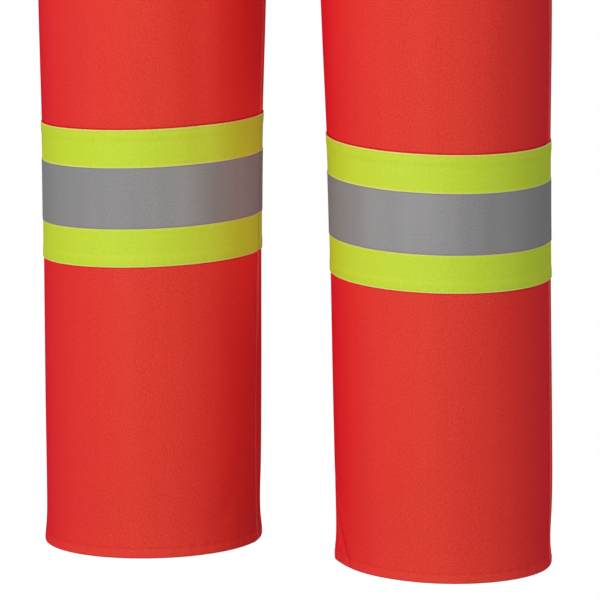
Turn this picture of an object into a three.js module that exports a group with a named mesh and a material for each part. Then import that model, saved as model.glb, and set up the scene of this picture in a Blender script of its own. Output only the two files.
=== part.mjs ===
// Bib overalls in fluorescent red-orange twill, standing filled out as they are when worn: two front and two
// back leg panels, a front bib and a high back, two braces with plate buckles, buttoned side openings, and one
// band of contrast tape with a silver stripe round each leg.
// Millimetres, +Z up, +X to the wearer's left, the front towards -Y. The origin lies midway between the two
// braces, level with their undersides where they rest on the shoulders. A "height" is measured up from the hem.
import * as THREE from 'three';

// ---- Driving sizes ----------------------------------------------------------------------------------------
const SHOULDER_TO_HEM = 1450;
const CROTCH = 800;
const WAIST = 1045;
const CLOTH = 1.2; // thickness of the twill's wall
const SEAM_GAP = 0.3; // between sewn edges, and under whatever lies on the cloth
const HALF_GAP = SEAM_GAP / 2;

const BAND = { middle: 301, width: 114.3, stripe: 50.8, wall: 1.0 }; // contrast tape 4 1/2 in, silver tape 2 in
const SIDE_RISE = 30; // how far the bib and back run up the side seam before the arm scoops start
const BIB = { top: 1325, topHalfWidth: 122, scoopHeight: 140, scoopPower: 2.4 };
const BACK = { top: 1302, topHalfWidth: 66, scoopHeight: 227, scoopPower: 1.5 };
const PLACKET = { bottom: 860, share: 0.06, wall: 1.0 };
const SIDE_BUTTONS = { upper: 1000, lower: 920, shankTop: 1.6 };
const BRACE = { width: 38, wall: 2, shoulderX: 108, shoulderSlope: 16, straight: 22, tailSteps: 2, lift: 0.5 };
const BRACE_BACK_END = { height: 1238, x: 25 };
const BRACE_BACK_TOP = { height: 1298, x: 44 };
const BIB_BUTTON = { height: 1299, x: 92 };
const BUTTON = { capRadius: 8.5, capHeight: 3.5, shankRadius: 2.4, rim: 1, shoulder: 3, dish: 0.6 };
const BUTTON_OVER_BUCKLE = 0.4;
const BUCKLE = {
  wall: 2.2, lift: 0.5, footRadius: 8.5, neckHalfWidth: 13.5, topHalfWidth: 23, corner: 3,
  neckFrom: 9, neckTo: 19, headFrom: 27, slotRadius: 3.2, holeRadius: 9.5, holeAt: 15,
  windowFrom: 30, windowTo: 38, windowHalfWidth: 20, top: 42,
};

// ---- The cut -----------------------------------------------------------------------------------------------
// One row for each cross-section: how far a leg's middle lies from the centre line, half the leg's width, how
// far its front and its back stand from the line through its side seams, and how softly the two legs run
// together. Above the crotch the two rounds blend into one trunk.
const SECTIONS = [
  { height: 0, centre: 130, halfWidth: 91.2, front: 95.3, back: 95.3, blend: 6 },
  { height: 30, centre: 129.4, halfWidth: 90, front: 94.3, back: 94.3, blend: 6 },
  { height: 130, centre: 128, halfWidth: 90.6, front: 95, back: 95, blend: 6 },
  { height: 290, centre: 126, halfWidth: 91, front: 94.5, back: 95.5, blend: 7 },
  { height: 450, centre: 123.6, halfWidth: 94.5, front: 96, back: 98, blend: 9 },
  { height: 620, centre: 121, halfWidth: 98, front: 102, back: 107, blend: 14 },
  { height: 740, centre: 119, halfWidth: 99, front: 107, back: 118, blend: 22 },
  { height: CROTCH, centre: 118, halfWidth: 101, front: 108, back: 124, blend: 17 / Math.LN2 },
  { height: 830, centre: 111, halfWidth: 109, front: 110, back: 128, blend: 30 },
  { height: 870, centre: 98, halfWidth: 123, front: 112, back: 132, blend: 40 },
  { height: 920, centre: 89, halfWidth: 131, front: 114, back: 135, blend: 42 },
  { height: 980, centre: 82, halfWidth: 132, front: 114, back: 132, blend: 42 },
  { height: WAIST, centre: 75, halfWidth: 126, front: 112, back: 122, blend: 42 },
  { height: 1120, centre: 74, halfWidth: 122, front: 113, back: 112, blend: 42 },
  { height: 1200, centre: 76, halfWidth: 120, front: 115, back: 110, blend: 42 },
  { height: 1330, centre: 78, halfWidth: 115, front: 112, back: 106, blend: 42 },
];

// How each leg stands, fading out towards the crotch: how far it is set forward, how many degrees it turns its
// front outwards, how much higher its inner side sits than its middle at the knee and at the hem, how many
// degrees its front dips, and how far its cloth rides up at the knee.
const STANCE = {
  left: { side: 1, forward: 14.8, toeOut: 3.8, hitchKnee: 3.2, hitchHem: 2.6, dip: 0.5, ride: -3.5 },
  right: { side: -1, forward: -1.2, toeOut: 2.4, hitchKnee: 3.9, hitchHem: 1.3, dip: -0.7, ride: 3.5 },
};
const SWAY = 5.8; // how far both hems hang over to the wearer's left
const KNEE_EASE_FROM = 350;
const KNEE_EASE_TO = 770;

const bandBottom = BAND.middle - BAND.width / 2;
const bandTop = BAND.middle + BAND.width / 2;
const stripeBottom = BAND.middle - BAND.stripe / 2;
const stripeTop = BAND.middle + BAND.stripe / 2;
const bandHeights = [bandBottom, stripeBottom, stripeTop, bandTop];
const stripeHeights = [stripeBottom, stripeTop];
const placketHeights = [PLACKET.bottom, 890, SIDE_BUTTONS.lower, 960, SIDE_BUTTONS.upper, WAIST - HALF_GAP];
const legHeights = [
  0, 12, 30, 80, 150, ...bandHeights, 450, 540, 620, 690, 740, 770, 788, 797,
  CROTCH, 803, 812, 830, ...placketHeights,
];
// Columns of points across half a leg or half a bib: the side seam, the placket's edge, then evenly on.
const COLUMN_STEPS = 10;
const columnShares = [0];
for (let i = 0; i <= COLUMN_STEPS; i += 1) {
  columnShares.push(PLACKET.share + ((1 - PLACKET.share) * i) / COLUMN_STEPS);
}

// ---- The form ----------------------------------------------------------------------------------------------
const clamp01 = (value) => Math.min(1, Math.max(0, value));

// A column of the table at any height, by a cubic through its rows that never overshoots them.
function tableValue(column, height) {
  const last = SECTIONS.length - 1;
  const slope = (i) =>
    (SECTIONS[i + 1][column] - SECTIONS[i][column]) / (SECTIONS[i + 1].height - SECTIONS[i].height);
  const tangent = (i) => {
    if (i === 0) return slope(0);
    if (i === last) return slope(last - 1);
    const [below, above] = [slope(i - 1), slope(i)];
    return below * above <= 0 ? 0 : (2 * below * above) / (below + above);
  };
  let i = 0;
  while (i < last - 1 && height > SECTIONS[i + 1].height) i += 1;
  const span = SECTIONS[i + 1].height - SECTIONS[i].height;
  const t = (height - SECTIONS[i].height) / span;
  const [t2, t3] = [t * t, t * t * t];
  return (
    (2 * t3 - 3 * t2 + 1) * SECTIONS[i][column] +
    (t3 - 2 * t2 + t) * span * tangent(i) +
    (3 * t2 - 2 * t3) * SECTIONS[i + 1][column] +
    (t3 - t2) * span * tangent(i + 1)
  );
}

const knownSections = new Map();
function section(height) {
  if (!knownSections.has(height)) {
    const values = {};
    for (const column of ['centre', 'halfWidth', 'front', 'back', 'blend']) {
      values[column] = tableValue(column, height);
    }
    knownSections.set(height, values);
  }
  return knownSections.get(height);
}

// How far a point lies outside the cloth, negative inside it: the nearer of the two legs' rounds, blended.
function outside(x, y, height) {
  const { centre, halfWidth, front, back, blend } = section(height);
  const depth = y < 0 ? front : back;
  const round = (middle) => (Math.hypot((x - middle) / halfWidth, y / depth) - 1) * halfWidth;
  return -blend * Math.log(Math.exp(-round(centre) / blend) + Math.exp(-round(-centre) / blend));
}

function outwardAt(x, y, height) {
  const step = 0.05;
  return new THREE.Vector3(
    outside(x + step, y, height) - outside(x - step, y, height),
    outside(x, y + step, height) - outside(x, y - step, height),
    outside(x, y, height + step) - outside(x, y, height - step),
  ).normalize();
}

// The cloth's outline at a height, on the left half. face is -1 for the front and 1 for the back; share runs
// from 0 at the side seam to 1 at the inner leg seam, or above the crotch at the centre seam.
function outlinePoint(height, share, face) {
  const { centre, halfWidth, front, back, blend } = section(height);
  const depth = face < 0 ? front : back;
  const joined = (1 + (blend * Math.LN2) / halfWidth) ** 2 - (centre / halfWidth) ** 2;
  const endAngle = joined > 0 ? Math.PI - Math.atan(depth * Math.sqrt(joined) / centre) : Math.PI;
  const angle = share * endAngle;
  let near = 0;
  let far = 2 * (halfWidth + depth);
  if (Math.cos(angle) < 0) far = Math.min(far, centre / -Math.cos(angle));
  for (let i = 0; i < 40; i += 1) {
    const middle = (near + far) / 2;
    if (outside(centre + middle * Math.cos(angle), face * middle * Math.sin(angle), height) < 0) near = middle;
    else far = middle;
  }
  return { x: centre + near * Math.cos(angle), y: face * near * Math.sin(angle) };
}

function easeOut(height) {
  const t = clamp01((height - KNEE_EASE_FROM) / (KNEE_EASE_TO - KNEE_EASE_FROM));
  return 1 - t * t * (3 - 2 * t);
}

// A point on the middle of the cloth with its outward normal, standing as its leg stands.
function clothPoint(leg, face, height, share) {
  const { side, forward, toeOut, hitchKnee, hitchHem, dip, ride } = STANCE[leg];
  const { x, y } = outlinePoint(height, share, face);
  const normal = outwardAt(x, y, height);
  const { centre, halfWidth } = section(height);
  const ease = easeOut(height);
  const turn = THREE.MathUtils.degToRad(toeOut) * ease;
  const toKnee = clamp01(height / BAND.middle);
  const hitch = THREE.MathUtils.lerp(hitchHem, hitchKnee, toKnee) * ease;
  const lean = Math.max(0, 1 - height / CROTCH) ** 1.5;
  const point = new THREE.Vector3(x - centre, y, 0).applyAxisAngle(new THREE.Vector3(0, 0, 1), turn);
  point.x += centre;
  point.y -= forward * lean;
  point.z = height - SHOULDER_TO_HEM + ride * toKnee * ease - (hitch * (x - centre)) / halfWidth
    + Math.tan(THREE.MathUtils.degToRad(dip)) * ease * y;
  normal.applyAxisAngle(new THREE.Vector3(0, 0, 1), turn);
  point.x = point.x * side + SWAY * lean;
  normal.x *= side;
  return { point, normal };
}

// ---- Walls of cloth ----------------------------------------------------------------------------------------
// Draws the two ends of a row back along it, so that sewn edges lie SEAM_GAP apart.
function trimEnds(row, amount) {
  for (const [end, next] of [[0, 1], [row.length - 1, row.length - 2]]) {
    const inward = row[next].point.clone().sub(row[end].point).normalize();
    row[end].point.addScaledVector(inward, amount);
  }
  return row;
}

// One row of a leg panel, from the inner seam round the front to the side seam, or on round the back.
function legRow(leg, face, height) {
  const shares = face < 0 ? columnShares.toReversed() : columnShares;
  const row = shares.map((share) => clothPoint(leg, face, height, share));
  return trimEnds(row, height === CROTCH ? SEAM_GAP : HALF_GAP);
}

// One row all round a leg, slit at its inner seam.
const legRing = (leg, height) => [...legRow(leg, -1, height), ...legRow(leg, 1, height)];

// A closed wall on rows of points: each point moves out and in along its normal, and strips close the edges.
function wall(rows, thickness, lift = 0) {
  const [count, width] = [rows.length, rows[0].length];
  const positions = [];
  for (const offset of [lift + thickness / 2, lift - thickness / 2]) {
    for (const { point, normal } of rows.flat()) {
      positions.push(...point.clone().addScaledVector(normal, offset).toArray());
    }
  }
  const at = (layer, i, j) => (layer * count + i) * width + j;
  const index = [];
  const quad = (a, b, c, d) => index.push(a, b, c, a, c, d);
  for (let i = 0; i < count - 1; i += 1) {
    for (let j = 0; j < width - 1; j += 1) {
      quad(at(0, i, j), at(0, i, j + 1), at(0, i + 1, j + 1), at(0, i + 1, j));
      quad(at(1, i, j), at(1, i + 1, j), at(1, i + 1, j + 1), at(1, i, j + 1));
    }
    quad(at(0, i, 0), at(0, i + 1, 0), at(1, i + 1, 0), at(1, i, 0));
    quad(at(0, i + 1, width - 1), at(0, i, width - 1), at(1, i, width - 1), at(1, i + 1, width - 1));
  }
  const top = count - 1;
  for (let j = 0; j < width - 1; j += 1) {
    quad(at(0, 0, j + 1), at(0, 0, j), at(1, 0, j), at(1, 0, j + 1));
    quad(at(0, top, j), at(0, top, j + 1), at(1, top, j + 1), at(1, top, j));
  }
  const geometry = new THREE.BufferGeometry();
  geometry.setAttribute('position', new THREE.Float32BufferAttribute(positions, 3));
  geometry.setIndex(index);
  return facingOut(geometry);
}

// Turns a closed body's triangles over if they point inwards.
function facingOut(geometry) {
  const position = geometry.getAttribute('position');
  const index = geometry.getIndex() ?? { count: position.count, getX: (i) => i };
  const triangles = [];
  let volume = 0;
  for (let i = 0; i < index.count; i += 3) {
    const corners = [0, 1, 2].map((k) => index.getX(i + k));
    const [a, b, c] = corners.map((k) => new THREE.Vector3().fromBufferAttribute(position, k));
    volume += a.dot(b.cross(c));
    triangles.push(corners);
  }
  if (volume < 0) geometry.setIndex(triangles.flatMap(([a, b, c]) => [a, c, b]));
  geometry.computeVertexNormals();
  return geometry;
}

const mirrored = (geometry) => facingOut(geometry.clone().scale(-1, 1, 1));

// ---- Bib and back ------------------------------------------------------------------------------------------
// Where along the outline the cloth reaches a distance from the centre line.
function shareAtX(height, face, x) {
  let [low, high] = [0, 1];
  for (let i = 0; i < 40; i += 1) {
    const middle = (low + high) / 2;
    if (outlinePoint(height, middle, face).x > x) low = middle;
    else high = middle;
  }
  return (low + high) / 2;
}

// A sheet from the waist seam up, its side edges scooped out for the arms.
function bibSheet({ top, topHalfWidth, scoopHeight, scoopPower }, face) {
  const SCOOP_STEPS = 9;
  const scoopFoot = WAIST + SIDE_RISE;
  const edges = [{ height: WAIST + HALF_GAP, middle: WAIST + HALF_GAP, scooped: 0 }];
  for (let i = 0; i <= SCOOP_STEPS; i += 1) {
    const angle = (i / SCOOP_STEPS) * (Math.PI / 2);
    edges.push({
      height: scoopFoot + scoopHeight * (1 - Math.cos(angle) ** (2 / scoopPower)),
      middle: scoopFoot + (scoopHeight * i) / SCOOP_STEPS,
      scooped: Math.sin(angle) ** (2 / scoopPower),
    });
  }
  const scoopTop = scoopFoot + scoopHeight;
  for (const height of top > scoopTop ? [(scoopTop + top) / 2, top] : []) {
    edges.push({ height, middle: height, scooped: 1 });
  }
  // Each row follows the scoop at its edges and runs level across the middle of the sheet.
  const rows = edges.map(({ height, middle, scooped }) => {
    const side = outlinePoint(height, 0, face).x;
    const edge = shareAtX(height, face, side + (topHalfWidth - side) * scooped);
    const point = (leg) => (share) =>
      clothPoint(leg, face, THREE.MathUtils.lerp(middle, height, (1 - share) ** 2), edge + (1 - edge) * share);
    return trimEnds([
      ...columnShares.map(point('left')),
      ...columnShares.slice(0, -1).reverse().map(point('right')),
    ], HALF_GAP);
  });
  return wall(rows, CLOTH);
}

// A place on the outer face of the left half of the bib or back: its point and its across, up and out axes.
function seatAt(face, height, x) {
  const on = (h) => clothPoint('left', face, h, shareAtX(h, face, x));
  const { point, normal } = on(height);
  const up = on(height + 1).point.sub(on(height - 1).point).normalize();
  const across = new THREE.Vector3().crossVectors(up, normal).normalize();
  up.crossVectors(normal, across);
  return { point: point.addScaledVector(normal, CLOTH / 2), across, up, normal };
}

function placedOn({ point, across, up, normal }) {
  return new THREE.Matrix4().makeBasis(across, up, normal).setPosition(point);
}

// ---- Buttons and buckles -----------------------------------------------------------------------------------
// A tack button standing on the cloth, its shank's foot SEAM_GAP clear of it.
function buttonGeometry(shankTop) {
  const { capRadius, capHeight, shankRadius, rim, shoulder, dish } = BUTTON;
  const crown = shankTop + capHeight;
  const profile = [
    [0, SEAM_GAP], [shankRadius, SEAM_GAP], [shankRadius, shankTop], [capRadius - rim, shankTop],
    [capRadius, shankTop + rim], [capRadius, crown - rim], [capRadius - rim, crown - rim / 3],
    [capRadius - shoulder, crown], [0, crown - dish],
  ].map(([radius, height]) => new THREE.Vector2(radius, height));
  return new THREE.LatheGeometry(profile, 16).rotateX(Math.PI / 2);
}

// The buckle's plate: a keyhole that drops over the button, and above it a window whose top bar the brace
// loops round. Its own origin is the middle of the button.
function buckleGeometry() {
  const {
    wall: depth, lift, footRadius, neckHalfWidth, topHalfWidth, corner, neckFrom, neckTo, headFrom,
    slotRadius, holeRadius, holeAt, windowFrom, windowTo, windowHalfWidth, top,
  } = BUCKLE;
  const plate = new THREE.Shape();
  plate.absarc(0, 0, footRadius, Math.PI, 2 * Math.PI);
  plate.lineTo(neckHalfWidth, neckFrom);
  plate.lineTo(neckHalfWidth, neckTo);
  plate.lineTo(topHalfWidth, headFrom);
  plate.absarc(topHalfWidth - corner, top - corner, corner, 0, Math.PI / 2);
  plate.absarc(corner - topHalfWidth, top - corner, corner, Math.PI / 2, Math.PI);
  plate.lineTo(-topHalfWidth, headFrom);
  plate.lineTo(-neckHalfWidth, neckTo);
  plate.lineTo(-neckHalfWidth, neckFrom);

  const keyhole = new THREE.Path();
  const pinch = Math.asin(slotRadius / holeRadius);
  keyhole.absarc(0, 0, slotRadius, Math.PI, 2 * Math.PI);
  keyhole.absarc(0, holeAt, holeRadius, pinch - Math.PI / 2, 1.5 * Math.PI - pinch);
  const window = new THREE.Path();
  window.moveTo(-windowHalfWidth, windowFrom);
  window.lineTo(windowHalfWidth, windowFrom);
  window.lineTo(windowHalfWidth, windowTo);
  window.lineTo(-windowHalfWidth, windowTo);
  plate.holes.push(keyhole, window);
  return new THREE.ExtrudeGeometry(plate, { depth, bevelEnabled: false, curveSegments: 8 })
    .translate(0, 0, lift);
}

// ---- Braces ------------------------------------------------------------------------------------------------
// The left brace's middle line, from its sewn end on the back, over the shoulder, down to the buckle's top bar,
// round it, and up again behind as a short tail. Each station has a point and the direction across the brace.
function braceStations() {
  const ARCH_STEPS = 9;
  const stations = [];

  const backSteps = 3;
  for (let i = 0; i <= backSteps; i += 1) {
    const t = i / backSteps;
    const height = THREE.MathUtils.lerp(BRACE_BACK_END.height, BRACE_BACK_TOP.height, t);
    const x = THREE.MathUtils.lerp(BRACE_BACK_END.x, BRACE_BACK_TOP.x, t);
    const { point, normal } = seatAt(1, height, x);
    stations.push({ point: point.addScaledVector(normal, BRACE.lift + BRACE.wall / 2), normal });
  }
  const backUp = stations[backSteps].point.clone().sub(stations[backSteps - 1].point).normalize();
  for (const station of stations) station.across = new THREE.Vector3().crossVectors(station.normal, backUp);

  const seat = seatAt(-1, BIB_BUTTON.height, BIB_BUTTON.x);
  const onBuckle = (up, out) =>
    seat.point.clone().addScaledVector(seat.up, up).addScaledVector(seat.normal, out);
  const barMiddle = BUCKLE.lift + BUCKLE.wall / 2;
  const loopRadius = BUCKLE.wall / 2 + SEAM_GAP + BRACE.wall / 2;
  const foot = onBuckle(BUCKLE.windowTo, barMiddle + loopRadius);
  const chest = foot.clone().addScaledVector(seat.up, BRACE.straight);

  const slope = THREE.MathUtils.degToRad(BRACE.shoulderSlope);
  const shoulder = {
    point: new THREE.Vector3(BRACE.shoulderX, 0, BRACE.wall / 2),
    across: new THREE.Vector3(Math.cos(slope), 0, -Math.sin(slope)),
    run: new THREE.Vector3(-0.12, 1, 0).normalize(), // backwards, closing in a little
  };
  // Quarter arches rising to the shoulder: each leaves its own end straight and meets the other level.
  const ROUND = 0.56; // handle length of a quarter arch, as a share of its rise or its reach
  const rising = (point, up, level) =>
    new THREE.CubicBezierCurve3(
      point,
      point.clone().addScaledVector(up, (shoulder.point.z - point.z) * ROUND),
      shoulder.point.clone().addScaledVector(level, Math.abs(point.y) * ROUND),
      shoulder.point,
    );
  const backTop = stations[backSteps];
  const backArch = rising(backTop.point, backUp, shoulder.run);
  const chestArch = rising(chest, seat.up, shoulder.run.clone().negate());
  const blendAcross = (from, to, t) => from.across.clone().lerp(to.across, t * t * (3 - 2 * t)).normalize();
  for (let i = 1; i <= ARCH_STEPS; i += 1) {
    const t = i / ARCH_STEPS;
    stations.push({ point: backArch.getPointAt(t), across: blendAcross(backTop, shoulder, t) });
  }
  for (let i = 1; i <= ARCH_STEPS; i += 1) {
    const t = i / ARCH_STEPS;
    stations.push({ point: chestArch.getPointAt(1 - t), across: blendAcross(shoulder, seat, t) });
  }

  // The tail runs back up behind what lies before the loop, two loop radii inside it.
  const tail = stations.slice(-1 - BRACE.tailSteps).reverse().map(({ point, across }, i, above) => {
    const up = i === 0 ? seat.up : point.clone().sub(above[i - 1].point).normalize();
    const outward = new THREE.Vector3().crossVectors(across, up).normalize();
    return { point: point.clone().addScaledVector(outward, -2 * loopRadius), across };
  });
  const LOOP_STEPS = 6;
  for (let i = 0; i <= LOOP_STEPS; i += 1) {
    const angle = (i / LOOP_STEPS) * Math.PI;
    stations.push({
      point: onBuckle(BUCKLE.windowTo - loopRadius * Math.sin(angle), barMiddle + loopRadius * Math.cos(angle)),
      across: seat.across,
    });
  }
  return [...stations, ...tail];
}

function braceGeometry() {
  const stations = braceStations();
  const rows = stations.map(({ point, across }, i) => {
    const before = stations[Math.max(0, i - 1)].point;
    const after = stations[Math.min(stations.length - 1, i + 1)].point;
    const along = after.clone().sub(before).normalize();
    const level = across.clone().addScaledVector(along, -across.dot(along)).normalize();
    const normal = new THREE.Vector3().crossVectors(along, level);
    return [-0.5, 0.5].map((share) => ({
      point: point.clone().addScaledVector(level, share * BRACE.width),
      normal,
    }));
  });
  return wall(rows, BRACE.wall);
}

// ---- The pieces, made up -----------------------------------------------------------------------------------
const twill = new THREE.MeshStandardMaterial({ color: '#f4452f', roughness: 0.85, metalness: 0 });
const limeTape = new THREE.MeshStandardMaterial({ color: '#d3ea3c', roughness: 0.7, metalness: 0 });
const silverTape = new THREE.MeshStandardMaterial({ color: '#9a999b', roughness: 0.45, metalness: 0.2 });
const steel = new THREE.MeshStandardMaterial({ color: '#b9bcc0', roughness: 0.3, metalness: 1 });

const overalls = new THREE.Group();
function addPiece(name, geometry, material) {
  const mesh = new THREE.Mesh(geometry, material);
  mesh.name = name;
  overalls.add(mesh);
}

const contrastLift = CLOTH / 2 + SEAM_GAP + BAND.wall / 2;
const silverLift = contrastLift + BAND.wall + SEAM_GAP;
const placketLift = CLOTH / 2 + SEAM_GAP + PLACKET.wall / 2;

for (const leg of ['left', 'right']) {
  const panel = (face) => wall(legHeights.map((height) => legRow(leg, face, height)), CLOTH);
  addPiece(`front_leg_${leg}`, panel(-1), twill);
  addPiece(`back_leg_${leg}`, panel(1), twill);

  const band = bandHeights.map((height) => legRing(leg, height));
  const stripe = stripeHeights.map((height) => legRing(leg, height));
  addPiece(`contrast_tape_${leg}`, wall(band, BAND.wall, contrastLift), limeTape);
  addPiece(`silver_tape_${leg}`, wall(stripe, BAND.wall, silverLift), silverTape);

  const strip = placketHeights.map((height) =>
    [...legRow(leg, -1, height).slice(-2), ...legRow(leg, 1, height).slice(0, 2)]);
  addPiece(`side_placket_${leg}`, wall(strip, PLACKET.wall, placketLift), twill);
}

addPiece('bib_front', bibSheet(BIB, -1), twill);
addPiece('back_bib', bibSheet(BACK, 1), twill);

const brace = braceGeometry();
const buttonSeat = placedOn(seatAt(-1, BIB_BUTTON.height, BIB_BUTTON.x));
const buckle = buckleGeometry().applyMatrix4(buttonSeat);
const bibButton = buttonGeometry(BUCKLE.lift + BUCKLE.wall + BUTTON_OVER_BUCKLE).applyMatrix4(buttonSeat);
const pairs = [['strap', brace, twill], ['strap_buckle', buckle, steel], ['bib_button', bibButton, steel]];
for (const place of ['upper', 'lower']) {
  const height = SIDE_BUTTONS[place];
  const seat = seatAt(1, height, outlinePoint(height, 0, 1).x);
  seat.point.addScaledVector(seat.normal, SEAM_GAP + PLACKET.wall);
  const button = buttonGeometry(SIDE_BUTTONS.shankTop).applyMatrix4(placedOn(seat));
  pairs.push([`side_button_${place}`, button, steel]);
}
for (const [name, geometry, material] of pairs) {
  addPiece(`${name}_left`, facingOut(geometry), material);
  addPiece(`${name}_right`, mirrored(geometry), material);
}

export default overalls;
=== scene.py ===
import bmesh
import bpy
import numpy as np
from mathutils import Matrix


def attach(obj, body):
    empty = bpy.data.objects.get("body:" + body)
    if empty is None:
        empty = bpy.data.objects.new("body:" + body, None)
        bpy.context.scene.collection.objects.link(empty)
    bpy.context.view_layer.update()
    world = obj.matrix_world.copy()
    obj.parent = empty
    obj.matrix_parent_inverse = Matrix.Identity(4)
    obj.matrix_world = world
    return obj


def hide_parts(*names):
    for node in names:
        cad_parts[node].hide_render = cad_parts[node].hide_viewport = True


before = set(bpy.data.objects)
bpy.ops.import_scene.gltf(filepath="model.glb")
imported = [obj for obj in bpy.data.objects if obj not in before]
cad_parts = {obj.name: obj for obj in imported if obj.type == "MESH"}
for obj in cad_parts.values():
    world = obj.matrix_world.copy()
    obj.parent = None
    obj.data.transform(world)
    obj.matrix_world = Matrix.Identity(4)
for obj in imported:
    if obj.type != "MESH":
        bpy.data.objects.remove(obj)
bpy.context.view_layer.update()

# ---- Leg panels --------------------------------------------------------------------------------------------
# Two front and two back panels of poly-cotton twill, sewn at the outer and the inner seam and, above the
# crotch, at the rise. Seam allowances lie open inside, and the hem is turned up once and stitched round.
# A "height" is measured up from the hem. A "turn" runs round a leg: -1 at the inner seam, over the front to 0
# at the outer seam, and over the back to 1 at the inner seam again, or above the crotch at the centre seam.
SHOULDER_TO_HEM = 1.450
CROTCH = 0.800
WAIST = 1.045

SECTION_COLUMNS = ("height", "centre", "half_width", "front", "back", "blend")
SECTION_ROWS = (
    (0.000, 0.1300, 0.0912, 0.0953, 0.0953, 0.006),
    (0.030, 0.1294, 0.0900, 0.0943, 0.0943, 0.006),
    (0.130, 0.1280, 0.0906, 0.0950, 0.0950, 0.006),
    (0.290, 0.1260, 0.0910, 0.0945, 0.0955, 0.007),
    (0.450, 0.1236, 0.0945, 0.0960, 0.0980, 0.009),
    (0.620, 0.1210, 0.0980, 0.1020, 0.1070, 0.014),
    (0.740, 0.1190, 0.0990, 0.1070, 0.1180, 0.022),
    (CROTCH, 0.1180, 0.1010, 0.1080, 0.1240, 0.017 / np.log(2)),
    (0.830, 0.1110, 0.1090, 0.1100, 0.1280, 0.030),
    (0.870, 0.0980, 0.1230, 0.1120, 0.1320, 0.040),
    (0.920, 0.0890, 0.1310, 0.1140, 0.1350, 0.042),
    (0.980, 0.0820, 0.1320, 0.1140, 0.1320, 0.042),
    (WAIST, 0.0750, 0.1260, 0.1120, 0.1220, 0.042),
    (1.120, 0.0740, 0.1220, 0.1130, 0.1120, 0.042),
    (1.200, 0.0760, 0.1200, 0.1150, 0.1100, 0.042),
    (1.330, 0.0780, 0.1150, 0.1120, 0.1060, 0.042),
)
SECTIONS = dict(zip(SECTION_COLUMNS, np.array(SECTION_ROWS).T))

# How each leg stands, fading out towards the crotch: set forward, turned out, its inner side hitched up over
# its middle at the knee and at the hem, its front dipped, and its cloth riding up at the knee.
STANCE_COLUMNS = ("side", "forward", "toe_out", "hitch_knee", "hitch_hem", "dip", "ride")
STANCE = {
    "left": dict(zip(STANCE_COLUMNS, (1, 0.0148, 3.8, 0.0032, 0.0026, 0.5, -0.0035))),
    "right": dict(zip(STANCE_COLUMNS, (-1, -0.0012, 2.4, 0.0039, 0.0013, -0.7, 0.0035))),
}
LEGS = tuple(STANCE)
MIRROR = {leg: np.array([STANCE[leg]["side"], 1, 1]) for leg in LEGS}
SWAY = 0.0058  # how far both hems hang over to the wearer's left
KNEE_EASE_FROM = 0.350
KNEE_EASE_TO = 0.770
BAND_MIDDLE = 0.301
BAND_WIDTH = 0.1143
BAND_PRESS = 0.0009  # how deep the contrast tape's sewn edges sit in the twill, just outside them
BAND_PRESS_OUT = 0.0004
BAND_PRESS_WIDTH = 0.0008

TWILL_THICKNESS = 0.00045
TWILL_LIFT = 0.0003  # the twill's middle, outside the middle line of its wall
SEAM_CLEAR = 0.000275  # from a seam's line to the middle of the cloth folded along it
SEAM_FOLD = 0.00035  # radius of the fold along a seam
SEAM_VALLEY = 0.00022  # how far the cloth dips towards a seam
SEAM_VALLEY_WIDTH = 0.0022
ALLOWANCE = 0.010
ALLOWANCE_SWELL = 0.00042  # how far the allowances pressed to the back push the cloth out
SWELL_RISE = (0.0002, 0.0012)
SWELL_FALL = (0.009, 0.013)
FAR_OFF = 1.0  # the distance to a seam that isn't near
HEM_FOLD = 0.0007
HEM_TURN_UP = 0.0095
HEM_STITCH = 0.0075
HEM_CAUGHT = 0.0035  # over this height the hem's turn-up holds the seams' folds flat
HEM_ROLL = 0.00020
HEM_GROOVE = 0.00018
HEM_GROOVE_WIDTH = 0.001
HEM_FLARE = 0.0002
HEM_FLARE_HEIGHT = 0.011
PUCKER = 0.00032
PUCKER_HEIGHT = 0.0055
PUCKER_PITCH = 0.0105
PUCKER_DRIFT = 0.083
PANEL_COLUMNS = 92
PANEL_CROWDING = 0.30  # how much closer together a panel's columns stand towards its seams

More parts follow.
